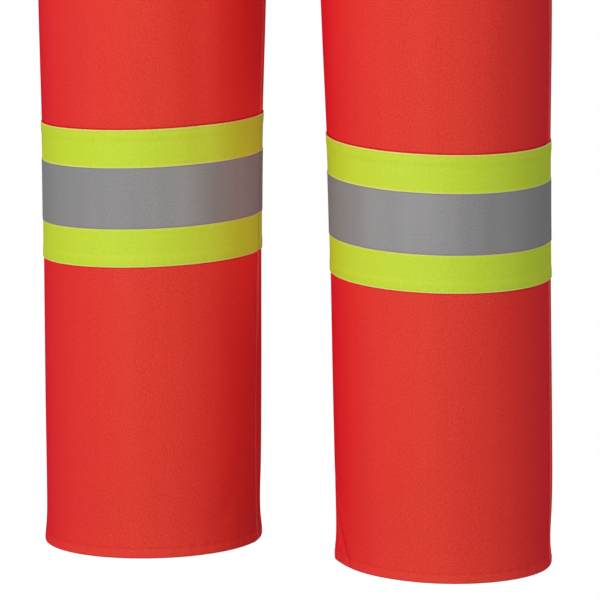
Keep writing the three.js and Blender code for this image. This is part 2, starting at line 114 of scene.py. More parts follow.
# Creases pressed and worn into the cloth: where the middle of each lies, how long and wide it is, how far it
# stands out (a trough is negative), how far it leans from upright and how much it bows.
CREASE_COLUMNS = ("leg", "height", "turn", "length", "width", "depth", "slant", "bow")
CREASE_ROWS = (
    # shins and calves: long shallow undulations, and a short drag at the hem
    ("right", 0.440, -0.735, 0.260, 0.011, -0.0013, 4, 0.002),
    ("right", 0.460, -0.60, 0.220, 0.016, 0.0010, -3, 0.000),
    ("right", 0.430, -0.36, 0.180, 0.020, -0.0008, 6, 0.003),
    ("right", 0.044, -0.86, 0.070, 0.009, -0.0007, -32, 0.003),
    ("right", 0.160, 0.966, 0.210, 0.0065, -0.0020, 0, 0.000),
    ("right", 0.027, 0.915, 0.046, 0.013, -0.0019, 0, 0.000),
    ("right", 0.100, -0.985, 0.240, 0.0050, 0.0007, 1, 0.001),
    ("right", 0.120, -0.55, 0.200, 0.030, -0.0006, 7, 0.004),
    ("right", 0.160, 0.45, 0.230, 0.022, -0.0014, 5, 0.004),
    ("right", 0.120, 0.70, 0.150, 0.016, 0.0012, -8, 0.002),
    ("left", 0.440, -0.52, 0.240, 0.018, -0.0009, -3, 0.002),
    ("left", 0.460, -0.28, 0.200, 0.016, 0.0008, 5, 0.000),
    ("left", 0.038, -0.862, 0.070, 0.0025, -0.0027, -33, 0.002),
    ("left", 0.043, -0.838, 0.060, 0.0050, 0.0009, -33, 0.002),
    ("left", 0.140, -0.30, 0.180, 0.028, -0.0006, -6, 0.004),
    ("left", 0.008, 0.08, 0.070, 0.040, -0.0033, 0, 0.000),
    ("left", 0.004, -0.875, 0.036, 0.010, 0.0014, 0, 0.000),
    ("left", 0.130, 0.40, 0.190, 0.020, -0.0013, -6, 0.003),
    ("left", 0.180, 0.62, 0.160, 0.017, 0.0011, 9, 0.002),
    # behind the knees: short crosswise folds of uneven length
    ("right", 0.480, 0.55, 0.150, 0.011, -0.0061, 84, -0.006),
    ("right", 0.512, 0.66, 0.110, 0.010, -0.0048, 97, 0.005),
    ("right", 0.455, 0.38, 0.090, 0.010, -0.0037, 76, 0.004),
    ("left", 0.492, 0.50, 0.140, 0.011, -0.0058, 95, 0.006),
    ("left", 0.463, 0.63, 0.100, 0.010, -0.0046, 82, -0.004),
    ("left", 0.525, 0.42, 0.080, 0.010, -0.0034, 104, 0.003),
    # over the knees: shallow hollows where the leg bends
    ("right", 0.540, -0.45, 0.130, 0.016, -0.0024, 78, 0.006),
    ("left", 0.530, -0.55, 0.120, 0.015, -0.0026, 102, -0.006),
    # thighs: long soft folds falling from the hip and the seat
    ("right", 0.660, -0.30, 0.260, 0.020, -0.0041, 10, 0.008),
    ("right", 0.640, -0.75, 0.200, 0.016, -0.0034, -12, 0.006),
    ("left", 0.650, -0.34, 0.240, 0.019, -0.0037, 8, -0.007),
    ("left", 0.670, -0.72, 0.220, 0.017, -0.0037, -9, 0.006),
    ("right", 0.660, 0.35, 0.250, 0.020, -0.0044, -8, 0.007),
    ("left", 0.645, 0.32, 0.270, 0.021, -0.0043, -11, -0.007),
    # crotch and seat: drag lines running out from the crotch, and folds under the seat
    ("right", 0.800, -0.78, 0.120, 0.009, -0.0051, -52, 0.004),
    ("right", 0.772, -0.70, 0.130, 0.010, -0.0042, -68, 0.005),
    ("right", 0.845, -0.66, 0.110, 0.010, -0.0030, -40, 0.003),
    ("left", 0.806, -0.76, 0.130, 0.009, -0.0048, -50, 0.004),
    ("left", 0.766, -0.74, 0.110, 0.010, -0.0045, -71, -0.004),
    ("left", 0.838, -0.62, 0.100, 0.010, -0.0027, -36, 0.003),
    ("right", 0.765, 0.62, 0.150, 0.012, -0.0060, 72, -0.007),
    ("right", 0.735, 0.72, 0.120, 0.011, -0.0045, 60, 0.005),
    ("left", 0.770, 0.66, 0.140, 0.012, -0.0057, 69, -0.006),
    ("left", 0.728, 0.70, 0.130, 0.011, -0.0042, 57, 0.006),
    # waist: short upright folds where the cloth is held in
    ("right", 0.985, -0.40, 0.100, 0.012, -0.0033, 6, 0.003),
    ("right", 0.975, 0.42, 0.110, 0.012, -0.0039, -7, 0.003),
    ("left", 0.990, -0.46, 0.090, 0.011, -0.0030, -5, 0.003),
    ("left", 0.970, 0.38, 0.120, 0.013, -0.0040, 8, 0.003),
    ("left", 0.985, 0.62, 0.080, 0.010, -0.0027, -4, 0.002),
    ("right", 0.990, 0.66, 0.080, 0.010, -0.0024, 5, 0.002),
    # bib and back: faint slack between the braces and the waist
    ("right", 1.140, -0.62, 0.150, 0.018, -0.0022, -28, 0.006),
    ("left", 1.130, -0.58, 0.160, 0.018, -0.0021, -24, 0.006),
    ("right", 1.110, 0.60, 0.120, 0.015, -0.0024, 30, 0.005),
    ("left", 1.120, 0.64, 0.110, 0.015, -0.0022, 26, 0.005),
)
CREASES = [dict(zip(CREASE_COLUMNS, row)) for row in CREASE_ROWS]
HALF_GIRTH = 0.285

# Where the right leg's inner seam wanders off its line, towards the back, as the cloth twists a little.
SEAM_WANDER_COLUMNS = ("height", "shift")
SEAM_WANDER_ROWS = (
    (0.000, 0.0040), (0.026, 0.0050), (0.051, 0.0036), (0.085, 0.0010), (0.118, 0.0020), (0.152, 0.0085),
    (0.186, 0.0125), (0.480, 0.0115), (0.620, 0.0000),
)
SEAM_WANDER = dict(zip(SEAM_WANDER_COLUMNS, np.array(SEAM_WANDER_ROWS).T))


def smooth_step(value, start, end):
    t = np.clip((value - start) / (end - start), 0, 1)
    return t * t * (3 - 2 * t)


def beside(distance, width):
    """1 on a line, fading away over a width on both sides of it."""
    return np.exp(-((distance / width) ** 2))


def section_value(column, height):
    """A column of the sections at any height, by a cubic through its rows that never overshoots them."""
    rows, values = SECTIONS["height"], SECTIONS[column]
    slope = np.diff(values) / np.diff(rows)
    below, above = slope[:-1], slope[1:]
    same_way = below * above > 0
    between = 2 * below * above / np.where(same_way, below + above, 1)
    tangent = np.concatenate([slope[:1], np.where(same_way, between, 0), slope[-1:]])
    i = np.clip(np.searchsorted(rows, height) - 1, 0, len(rows) - 2)
    span = rows[i + 1] - rows[i]
    t = (height - rows[i]) / span
    return (
        (2 * t**3 - 3 * t**2 + 1) * values[i]
        + (t**3 - 2 * t**2 + t) * span * tangent[i]
        + (3 * t**2 - 2 * t**3) * values[i + 1]
        + (t**3 - t**2) * span * tangent[i + 1]
    )


def section(height):
    return {column: section_value(column, height) for column in SECTION_COLUMNS[1:]}


def outside(x, y, cut):
    """How far a point lies outside the cloth: the nearer of the two legs' rounds, blended together."""
    depth = np.where(y < 0, cut["front"], cut["back"])

    def from_round(middle):
        return (np.hypot((x - middle) / cut["half_width"], y / depth) - 1) * cut["half_width"]

    nearness = [-from_round(middle) / cut["blend"] for middle in (cut["centre"], -cut["centre"])]
    return -cut["blend"] * np.logaddexp(*nearness)


def outline(height, turn):
    """The middle line of the left half's cloth at a height, as x and y."""
    cut = section(height)
    centre, half_width, blend = cut["centre"], cut["half_width"], cut["blend"]
    depth = np.where(turn < 0, cut["front"], cut["back"])
    joined = (1 + blend * np.log(2) / half_width) ** 2 - (centre / half_width) ** 2
    end = np.pi - np.arctan(depth * np.sqrt(np.maximum(joined, 0)) / centre)
    angle = turn * end
    along, out = np.cos(angle), np.sin(angle)
    near = np.zeros_like(angle)
    far = 2 * (half_width + depth)
    far = np.where(along < 0, np.minimum(far, centre / np.maximum(-along, 1e-9)), far)
    for _ in range(34):
        middle = (near + far) / 2
        within = outside(centre + middle * along, middle * out, cut) < 0
        near, far = np.where(within, middle, near), np.where(within, far, middle)
    return centre + near * along, near * out


def relief(leg, height, turn):
    """How far the creases push the cloth out. They die away before the centre seam above the crotch."""
    total = np.zeros(np.broadcast(height, turn).shape)
    for crease in CREASES:
        if crease["leg"] != leg:
            continue
        around = ((turn - crease["turn"] + 1) % 2 - 1) * HALF_GIRTH
        up = height - crease["height"]
        slant = np.radians(crease["slant"])
        reach = crease["length"] / 2
        along = around * np.sin(slant) + up * np.cos(slant)
        across = around * np.cos(slant) - up * np.sin(slant) - crease["bow"] * (along / reach) ** 2
        total += crease["depth"] * beside(across, crease["width"]) * beside(along, reach)
    at_centre = smooth_step(height, CROTCH - 0.06, CROTCH - 0.01) * smooth_step(np.abs(turn), 0.88, 0.99)
    return total * (1 - at_centre)


def cloth(leg, height, turn, lift=0.0):
    """Points that lie lift outside the middle of the cloth, standing as the leg stands, and their normals."""
    height, turn, lift = np.broadcast_arrays(
        np.asarray(height, float), np.asarray(turn, float), np.asarray(lift, float))
    x, y = outline(height, turn)
    step = 5e-5  # for the slopes that make the normals
    cut = section(height)
    normal = np.stack([
        outside(x + step, y, cut) - outside(x - step, y, cut),
        outside(x, y + step, cut) - outside(x, y - step, cut),
        outside(x, y, section(height + step)) - outside(x, y, section(height - step)),
    ], axis=-1)
    normal /= np.linalg.norm(normal, axis=-1, keepdims=True)

    stance = STANCE[leg]
    ease = 1 - smooth_step(height, KNEE_EASE_FROM, KNEE_EASE_TO)
    toe_out = np.radians(stance["toe_out"]) * ease
    to_knee = np.clip(height / BAND_MIDDLE, 0, 1)
    hitch = stance["hitch_hem"] + (stance["hitch_knee"] - stance["hitch_hem"]) * to_knee
    lean = np.maximum(0, 1 - height / CROTCH) ** 1.5
    across = x - cut["centre"]
    cos, sin = np.cos(toe_out), np.sin(toe_out)
    point = np.stack([
        cut["centre"] + across * cos - y * sin + stance["side"] * SWAY * lean,
        across * sin + y * cos - stance["forward"] * lean,
        height - SHOULDER_TO_HEM + stance["ride"] * to_knee * ease - hitch * ease * across / cut["half_width"]
        + np.tan(np.radians(stance["dip"])) * ease * y,
    ], axis=-1)
    normal[..., 0], normal[..., 1] = (
        normal[..., 0] * cos - normal[..., 1] * sin, normal[..., 0] * sin + normal[..., 1] * cos)
    point += normal * (lift + relief(leg, height, turn))[..., None]
    return point * MIRROR[leg], normal * MIRROR[leg]


def lengths_round(height):
    """How far it is round the cloth from the outer seam to evenly spaced turns, positive behind, one row for
    each height. The turns run a little past the inner seam on both sides."""
    past = 106
    turns = np.arange(-past, past + 1) / 100
    x, y = outline(np.asarray(height, float)[:, None], turns[None, :])
    steps = np.hypot(np.diff(x, axis=1), np.diff(y, axis=1))
    lengths = np.concatenate([np.zeros((len(x), 1)), np.cumsum(steps, axis=1)], axis=1)
    return turns, lengths - lengths[:, [past]]


def inner_seam_at(height, face):
    """How far round the front or the back it is from the outer seam to the inner or the centre seam."""
    turns, lengths = lengths_round(height)
    return np.abs(lengths[:, np.searchsorted(turns, face)])


def seam_wander(leg, height):
    """How far the inner seam lies from its line, towards the back."""
    return np.interp(height, SEAM_WANDER["height"], SEAM_WANDER["shift"]) * (leg == "right")


def turn_at(height, distance):
    """The turns at rows of distances round from the outer seam, one row for each height."""
    turns, lengths = lengths_round(height)
    return np.stack([np.interp(row, known, turns) for row, known in zip(distance, lengths)])


def turned_edge(clear, radius, under, beyond=()):
    """The cross-section of an edge turned under, from its raw edge round the fold to the face of the cloth,
    and on over it: each step's distance from the edge's line, and its lift."""
    angle = np.linspace(-np.pi / 2, np.pi / 2, 7)
    start = clear + radius
    turned = [under, under * 0.5, start + 2 * radius]
    distance = np.concatenate([turned, start - radius * np.cos(angle), beyond])
    lift = np.concatenate([np.full(3, -2 * radius), radius * np.sin(angle) - radius, np.zeros(len(beyond))])
    return distance, lift


def seam_swell(from_outer, from_inner):
    """How the allowances pressed to the back stand under the cloth. Distances are signed, positive behind."""
    def swell(distance):
        return ALLOWANCE_SWELL * smooth_step(distance, *SWELL_RISE) * (1 - smooth_step(distance, *SWELL_FALL))
    return swell(from_outer) + swell(from_inner)


def hem_shape(height, round_distance):
    """The hem's roll between its fold and its stitching, the stitches' groove and puckers, and its flare."""
    roll = HEM_ROLL * np.sin(np.pi * np.clip(height / HEM_STITCH, 0, 1)) ** 0.8
    groove = HEM_GROOVE * beside(height - HEM_STITCH, HEM_GROOVE_WIDTH)
    drift = 2.1 * np.sin(2 * np.pi * round_distance / PUCKER_DRIFT)
    wave = np.sin(2 * np.pi * round_distance / PUCKER_PITCH + drift)
    pucker = PUCKER * wave * beside(height - HEM_STITCH, PUCKER_HEIGHT)
    return roll - groove + pucker + HEM_FLARE * beside(height, HEM_FLARE_HEIGHT)


def add_object(name, data):
    made = bpy.data.objects.new(name, data)
    bpy.context.scene.collection.objects.link(made)
    return made


def finish(piece, material, node):
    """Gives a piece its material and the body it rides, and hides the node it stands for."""
    piece.data.materials.append(material)
    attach(piece, "root")
    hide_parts(node)


def sheet_object(name, points, uv, fold, thickness, turned_over, tube=False):
    """A grid of points as one smooth sheet with a thickness, its columns joined round where it is a tube. uv
    is its place on the cloth in metres, and fold says how near a point lies to an edge, where it wears and
    where a highlight is painted."""
    rows, columns = points.shape[:2]
    i, j = np.indices((rows - 1, columns if tube else columns - 1)).reshape(2, -1)
    around = [(i, j), (i, j + 1), (i + 1, j + 1), (i + 1, j)][:: -1 if turned_over else 1]
    quads = np.stack([row * columns + column % columns for row, column in around], axis=1)
    mesh = bpy.data.meshes.new(name)
    mesh.from_pydata(points.reshape(-1, 3).tolist(), [], quads.tolist())
    mesh.shade_smooth()
    corners = np.stack([uv[row, column] for row, column in around], axis=1)
    mesh.uv_layers.new(name="cloth").data.foreach_set("uv", corners.astype(np.float32).ravel())
    mesh.attributes.new("fold", "FLOAT", "POINT").data.foreach_set("value", fold.astype(np.float32).ravel())
    sheet = add_object(name, mesh)
    wall = sheet.modifiers.new("thickness", "SOLIDIFY")
    wall.thickness = thickness
    wall.offset = 0
    return sheet


def add_node(tree, kind, inputs=None, **settings):
    """A node whose inputs, by name or number, are given values or another node's output."""
    node = tree.nodes.new(kind)
    for setting, value in settings.items():
        setattr(node, setting, value)
    for socket, value in (inputs or {}).items():
        if isinstance(value, bpy.types.NodeSocket):
            tree.links.new(value, node.inputs[socket])
        else:
            node.inputs[socket].default_value = value
    return node


def math_node(tree, operation, *values):
    return add_node(tree, "ShaderNodeMath", dict(enumerate(values)), operation=operation).outputs[0]


def mixed_colour(tree, share, first, second):
    return add_node(tree, "ShaderNodeMix", {0: share, 6: first, 7: second}, data_type="RGBA").outputs[2]


def new_group(name, kind, inputs, outputs):
    """An empty node group with its named inputs and outputs, and the sockets that bring the inputs in."""
    tree = bpy.data.node_groups.new(name, kind)
    for in_out, sockets in (("INPUT", inputs), ("OUTPUT", outputs)):
        for socket, socket_type in sockets.items():
            tree.interface.new_socket(socket, in_out=in_out, socket_type=f"NodeSocket{socket_type}")
    return tree, add_node(tree, "NodeGroupInput").outputs


WEAVE_SIZES = ("Warp Pitch", "Repeat", "Offset", "Fleck Size", "Streak Size", "Streaks")
YARN_ROUND = (0.6, 0.5)  # how square a yarn is across and along: 1 is fully round, 0 is flat
STREAK_STRETCH = 0.08  # a streak's width for its length
TONE_SHARES = dict(fleck=1.4, yarn=0.3, taken_off=0.35)


def woven_ground():
    """Yarns over and under each other: warps a pitch apart, each float begun a share of the repeat after its
    neighbour's. Height is for a bump. Tone varies from yarn to yarn, in soft flecks and in long streaks."""
    tree, given = new_group(
        "woven ground", "ShaderNodeTree",
        {"Place": "Vector", **dict.fromkeys(WEAVE_SIZES, "Float")}, {"Height": "Float", "Tone": "Float"})

    def maths(operation, *values):
        return math_node(tree, operation, *values)

    def noise(place, scale, **inputs):
        return add_node(tree, "ShaderNodeTexNoise", {"Vector": place, "Scale": scale, **inputs},
                        noise_dimensions="2D").outputs["Fac"]

    place = add_node(tree, "ShaderNodeSeparateXYZ", {0: given["Place"]}).outputs
    warps = maths("DIVIDE", place["X"], given["Warp Pitch"])
    warp = maths("FLOOR", warps)
    across = maths("SINE", maths("MULTIPLY", maths("FRACT", warps), np.pi))
    repeats = maths("DIVIDE", place["Y"], given["Repeat"])
    floats = maths("ADD", repeats, maths("MULTIPLY", warp, given["Offset"]))
    along = maths("SINE", maths("MULTIPLY", maths("FRACT", floats), np.pi))
    rounded = [maths("POWER", wave, share) for wave, share in zip((across, along), YARN_ROUND)]
    height = maths("MULTIPLY", *rounded)
    cell = add_node(tree, "ShaderNodeCombineXYZ", {0: warp, 1: maths("FLOOR", floats)}).outputs[0]
    yarn = add_node(tree, "ShaderNodeTexWhiteNoise", {"Vector": cell}, noise_dimensions="2D").outputs["Value"]
    fleck = noise(given["Place"], maths("DIVIDE", 1.0, given["Fleck Size"]), Detail=3.0, Roughness=0.65)
    drawn_out = add_node(tree, "ShaderNodeVectorMath", {0: given["Place"], 1: (1.0, STREAK_STRETCH, 1.0)},
                         operation="MULTIPLY").outputs[0]
    streak_place = add_node(
        tree, "ShaderNodeVectorMath", {0: drawn_out, "Scale": maths("DIVIDE", 1.0, given["Streak Size"])},
        operation="SCALE").outputs[0]
    streak = noise(streak_place, 1.0, Detail=2.0)
    streaked = maths("MULTIPLY", maths("SUBTRACT", streak, 0.5), given["Streaks"])
    flecked = maths("ADD", maths("MULTIPLY", fleck, TONE_SHARES["fleck"]),
                    maths("MULTIPLY", yarn, TONE_SHARES["yarn"]))
    tone = maths("ADD", maths("SUBTRACT", flecked, TONE_SHARES["taken_off"]), streaked)
    clamped = add_node(tree, "ShaderNodeClamp", {"Value": tone}).outputs[0]
    add_node(tree, "NodeGroupOutput", {"Height": height, "Tone": clamped})
    return tree


WOVEN_GROUND = woven_ground()


def new_material(name, **settings):
    """A material, its nodes and its shader, whose plain settings are given by the names of its sockets."""
    material = bpy.data.materials.new(name)
    material.use_nodes = True
    shader = material.node_tree.nodes["Principled BSDF"]
    for socket, value in settings.items():
        shader.inputs[socket].default_value = value
    return material, material.node_tree, shader


def cloth_material(name, dark, light, wear_and_highlight, painted_edge_shade, weave, roughness, specular, bump, metallic=0.0):
    """Woven cloth between two close shades, with a third at its folds and seams, partly wear and partly a
    painted highlight. Seen edge-on it has no gloss, and its colour turns to a painted deeper shade that
    stands in for the shade on the sides turned from the light. weave gives the woven ground's sizes in their
    order, bump its depth in metres."""
    material, tree, shader = new_material(name, Roughness=roughness, Metallic=metallic)
    turned = add_node(tree, "ShaderNodeLayerWeight", {"Blend": 0.5}).outputs["Facing"]
    edge_on = math_node(tree, "POWER", turned, 1.05)
    gloss = math_node(tree, "MULTIPLY", math_node(tree, "SUBTRACT", 1.0, edge_on), specular)
    tree.links.new(gloss, shader.inputs["Specular IOR Level"])
    place = add_node(tree, "ShaderNodeUVMap", uv_map="cloth").outputs["UV"]
    ground = add_node(tree, "ShaderNodeGroup", node_tree=WOVEN_GROUND)
    tree.links.new(place, ground.inputs["Place"])
    for socket, value in zip(WEAVE_SIZES, weave):
        ground.inputs[socket].default_value = value
    shade = mixed_colour(tree, ground.outputs["Tone"], (*dark, 1), (*light, 1))
    # painted shade: seen edge-on the colour turns deeper, standing in for the shade on the sides turned from
    # the light
    shade = mixed_colour(tree, edge_on, shade, (*painted_edge_shade, 1))
    # wear and painted highlight: near folds and seams the colour turns to a third, partly wear and partly a
    # painted highlight along the edge
    fold = add_node(tree, "ShaderNodeAttribute", attribute_name="fold").outputs["Fac"]
    wear_and_highlight_mark = math_node(tree, "MULTIPLY", fold, math_node(tree, "ADD", ground.outputs["Tone"], 0.4))
    tree.links.new(mixed_colour(tree, wear_and_highlight_mark, shade, (*wear_and_highlight, 1)), shader.inputs["Base Color"])
    raised = add_node(
        tree, "ShaderNodeBump", {"Height": ground.outputs["Height"], "Strength": 1.0, "Distance": bump})
    tree.links.new(raised.outputs["Normal"], shader.inputs["Normal"])
    return material


# The twill's pale third colour is wear and a painted highlight along its seams and folds.
twill = cloth_material(
    "fluorescent red-orange twill", dark=(0.78, 0.010, 0.0040), light=(0.98, 0.079, 0.0480),
    wear_and_highlight=(1.0, 0.16, 0.15), painted_edge_shade=(0.88, 0.0005, 0.022), roughness=0.75, specular=0.35, bump=0.00005,
    weave=(0.00024, 0.0013, 1 / 3, 0.0013, 0.030, 0.2))


def lay_cloth(leg, name, node, material, thickness, heights, distance, lift, fold, turned_over):
    """A piece of cloth on a leg, in rows at heights and columns at distances round from the outer seam."""
    points, _ = cloth(leg, heights[:, None], turn_at(heights, distance), lift)
    height = np.broadcast_to(heights[:, None], distance.shape)
    uv = np.stack([distance * STANCE[leg]["side"], height], axis=-1)
    piece = sheet_object(f"{name}_{leg}", points, uv, fold, thickness, turned_over)
    finish(piece, material, f"{node}_{leg}")
    return piece


def leg_panel_rows():
    """Every row's height and lift: the hem turned up inside, its fold, the face of the cloth, closer together
    up to the knee, and the fold along the waist seam."""
    near_hem = (0.0013, 0.0022, 0.0034, 0.0046, 0.0058, 0.0066, 0.0071, 0.0075, 0.0079, 0.0085, 0.0095, 0.011,
                0.0132)
    hem, hem_lift = turned_edge(0, HEM_FOLD, HEM_TURN_UP, near_hem)
    from_band = np.array([0.0004, 0.0010, 0.0017, 0.0026])
    at_band = [BAND_MIDDLE + side * (BAND_WIDTH / 2 + from_band) for side in (-1, 1)]
    close = np.sort(np.concatenate([np.arange(0.016, 0.500, 0.0040), *at_band]))
    face = np.concatenate([close, np.linspace(0.504, WAIST - 0.004, 62)])
    waist, waist_lift = turned_edge(SEAM_CLEAR, SEAM_FOLD, ALLOWANCE)
    heights = np.concatenate([hem, face, WAIST - waist[::-1]])
    return heights, np.concatenate([hem_lift, np.zeros_like(face), waist_lift[::-1]])


def leg_panel(leg, face):
    """One panel: its columns run from the outer seam to the inner seam, each seam's edge turned under."""
    heights, row_lift = leg_panel_rows()
    near_seam = (0.0012, 0.0019, 0.0028, 0.0042, 0.0060, 0.0082, 0.0105, 0.0130)
    edge, edge_lift = turned_edge(SEAM_CLEAR, SEAM_FOLD, ALLOWANCE, near_seam)
    middle = np.linspace(0, 1, PANEL_COLUMNS + 2)[1:-1]
    middle = middle - PANEL_CROWDING * np.sin(2 * np.pi * middle) / (2 * np.pi)

    whole = (inner_seam_at(heights, face) - seam_wander(leg, heights) * face)[:, None]
    from_outer = np.concatenate([
        np.tile(edge, (len(heights), 1)), edge[-1] + middle * (whole - 2 * edge[-1]), whole - edge[::-1],
    ], axis=1)
    from_inner = whole - from_outer
    height = heights[:, None]

    across_lift = np.concatenate([edge_lift, np.zeros_like(middle), edge_lift[::-1]])
    caught = beside(height, HEM_CAUGHT)
    flattened = np.where(across_lift > -1.99 * SEAM_FOLD, across_lift * (1 - 0.8 * caught), across_lift)
    valley = (1 - caught) * (beside(from_outer, SEAM_VALLEY_WIDTH) + beside(from_inner, SEAM_VALLEY_WIDTH))
    from_band = np.abs(height - BAND_MIDDLE) - BAND_WIDTH / 2
    pressed = BAND_PRESS * beside(from_band - BAND_PRESS_OUT, BAND_PRESS_WIDTH)
    lift = TWILL_LIFT + row_lift[:, None] + flattened + hem_shape(height, from_outer * face)
    lift = lift - SEAM_VALLEY * valley - pressed
    if face > 0:
        lift = lift + (1 - caught) * seam_swell(from_outer, from_inner)

    doubled = 0.10 * (1 - smooth_step(height, 0.0010, 0.0085))  # the doubled hem is a little paler, fading out at its stitching
    # painted highlight: the pale line along each seam stands in for light on the seam's ridge, with some wear
    fold = np.maximum(beside(np.minimum(from_outer, from_inner), 0.0015), doubled)
    part = "front" if face < 0 else "back"
    panel = lay_cloth(leg, f"{part}_panel", f"{part}_leg", twill, TWILL_THICKNESS, heights,
                      from_outer * face, lift, fold, (face < 0) == (leg == "left"))
    cut_width = inner_seam_at(np.linspace(0, WAIST, 60), face) + 2 * ALLOWANCE


for leg in LEGS:
    for face in (-1, 1):
        leg_panel(leg, face)

# ---- Hem stitching -----------------------------------------------------------------------------------------
# One row of lockstitch in matching polyester thread holds each hem's turn-up. Every seam that is topstitched
# uses the same stitches: short beads of thread sunk in the cloth, a gap between one and the next.
STITCH_SIZES = {"Pitch": 0.0032, "Length": 0.0026, "Width": 0.0005, "Depth": 0.00035}
SEAM_GAP = 0.002  # from a seam that crosses a stitched row to the row's end


def rows_of_stitches():
    """Turns lines into rows of stitches, each laid along the line and flat to the cloth under it."""
    tree, given = new_group(
        "rows of stitches", "GeometryNodeTree",
        {"Lines": "Geometry", **dict.fromkeys(STITCH_SIZES, "Float"), "Thread": "Material"},
        {"Stitches": "Geometry"})

    def step(kind, inputs=None, **settings):
        return add_node(tree, kind, inputs, **settings).outputs[0]

    line = step("GeometryNodeMeshToCurve", {"Mesh": given["Lines"]})
    holes = step("GeometryNodeResampleCurve", {"Curve": line, "Length": given["Pitch"]}, mode="LENGTH")
    outward = step("GeometryNodeInputNamedAttribute", {"Name": "outward"}, data_type="FLOAT_VECTOR")
    along = step("GeometryNodeInputTangent")
    lie = step("FunctionNodeAxesToRotation", {"Primary Axis": along, "Secondary Axis": outward},
               primary_axis="X", secondary_axis="Z")
    bead = step("GeometryNodeMeshIcoSphere", {"Radius": 0.5, "Subdivisions": 1})
    size = step("ShaderNodeCombineXYZ", {0: given["Length"], 1: given["Width"], 2: given["Depth"]})
    sewn = step("GeometryNodeInstanceOnPoints",
                {"Points": holes, "Instance": bead, "Rotation": lie, "Scale": size})
    smooth = step("GeometryNodeSetShadeSmooth", {0: step("GeometryNodeRealizeInstances", {0: sewn})})
    threaded = step("GeometryNodeSetMaterial", {"Geometry": smooth, "Material": given["Thread"]})
    add_node(tree, "NodeGroupOutput", {"Stitches": threaded})
    return tree


ROWS_OF_STITCHES = rows_of_stitches()


def stitching(name, lines, thread):
    """Sews every line, given as its points and the cloth's normals along it."""
    counts = [len(points) for points, _ in lines]
    starts = np.cumsum([0, *counts])
    edges = [(k, k + 1) for start, count in zip(starts, counts) for k in range(start, start + count - 1)]
    mesh = bpy.data.meshes.new(f"{name}_lines")
    mesh.from_pydata(np.concatenate([points for points, _ in lines]).tolist(), edges, [])
    outward = np.concatenate([normals for _, normals in lines]).astype(np.float32)
    mesh.attributes.new("outward", "FLOAT_VECTOR", "POINT").data.foreach_set("vector", outward.ravel())
    drawn = add_object(f"{name}_lines", mesh)
    sewing = drawn.modifiers.new("sewing", "NODES")
    sewing.node_group = ROWS_OF_STITCHES
    sockets = {item.name: item.identifier for item in ROWS_OF_STITCHES.interface.items_tree}
    for socket, value in {**STITCH_SIZES, "Thread": thread}.items():
        sewing[sockets[socket]] = value
    evaluated = drawn.evaluated_get(bpy.context.evaluated_depsgraph_get())
    sewn = add_object(name, bpy.data.meshes.new_from_object(evaluated))
    bpy.data.objects.remove(drawn)
    bpy.data.meshes.remove(mesh)
    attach(sewn, "root")


def patchy(tree, share, colour, darkened):
    """A colour that a share between 0 and 1 breaks up with the same colour, darkened."""
    return mixed_colour(tree, share, (*(darkened * value for value in colour), 1), (*colour, 1))


def thread_material(name, colour):
    """Twisted polyester thread: the colour breaks up along the stitch as its plies catch the light."""
    material, tree, shader = new_material(name, Roughness=0.5)
    place = add_node(tree, "ShaderNodeTexCoord").outputs["Object"]
    plies = add_node(tree, "ShaderNodeTexNoise", {"Vector": place, "Scale": 2500.0, "Detail": 1.0}).outputs[0]
    tree.links.new(patchy(tree, plies, colour, 0.7), shader.inputs["Base Color"])
    return material


def line_round(leg, height, lift, shape=None):
    """A level line right round a leg, its lift given, and a shape to add from the distance round."""
    heights = np.array([height])
    front, back = (inner_seam_at(heights, face)[0] - seam_wander(leg, height) * face for face in (-1, 1))
    distance = np.linspace(SEAM_GAP - front, back - SEAM_GAP, 400)
    turns = turn_at(heights, distance[None, :])[0]
    swell = seam_swell(distance, np.where(distance > 0, back - distance, FAR_OFF))
    return cloth(leg, height, turns, lift + swell + (shape(height, distance) if shape else 0))


red_thread = thread_material("matching red thread", (0.80, 0.028, 0.016))
on_twill = TWILL_LIFT + TWILL_THICKNESS / 2
hem_lines = [line_round(leg, HEM_STITCH, on_twill, hem_shape) for leg in LEGS]
stitching("hem_stitches", hem_lines, red_thread)

# ---- Contrast tape -----------------------------------------------------------------------------------------
# Lime polyester tape, 4 1/2 in wide, goes once round each leg over the outer seam, its ends caught in the
# inner seam. Both edges are folded under and sewn down close to the fold.
STRIPE_WIDTH = 0.0508
TAPE_THICKNESS = 0.00035
TAPE_FOLD = 0.0002
TAPE_MARGIN = 0.008
TAPE_STITCH = 0.0016
TAPE_STITCH_SUNK = 0.0001
TAPE_END_CLEAR = 0.0004
TAPE_CLEAR = 0.00005  # between one layer and the next
# Painted highlights on the lime tape: a pale line along each folded edge, partly its paler selvedge, and a
# pale line beside each edge of the silver stripe.
TAPE_EDGE_SELVEDGE_AND_HIGHLIGHT = dict(share=0.70, width=0.0009)
STRIPE_EDGE_HIGHLIGHT = dict(share=0.95, width=0.0010)
TAPE_COLUMNS = 84  # in the front half of a ring, and as many in the back half
OVER_ALLOWANCE = np.array([0.0, 0.0002, 0.0007, 0.0012, 0.0028, 0.0045, 0.0066, 0.0090, 0.0110, 0.0130])
TAPE_UNDER = on_twill + TAPE_CLEAR + TAPE_THICKNESS / 2  # middle of the layer next to the twill
TAPE_OVER = TAPE_UNDER + 2 * TAPE_FOLD  # middle of the layer folded over it


def tape_lift(from_edge):
    """The tape's face: over its folded margin, then a step down to lie on the twill itself."""
    settled = smooth_step(from_edge, TAPE_MARGIN - 0.0016, TAPE_MARGIN + 0.0026)
    stitched = TAPE_STITCH_SUNK * beside(from_edge - TAPE_STITCH, 0.0006)
    return TAPE_OVER - (TAPE_OVER - TAPE_UNDER - TAPE_CLEAR) * settled - stitched


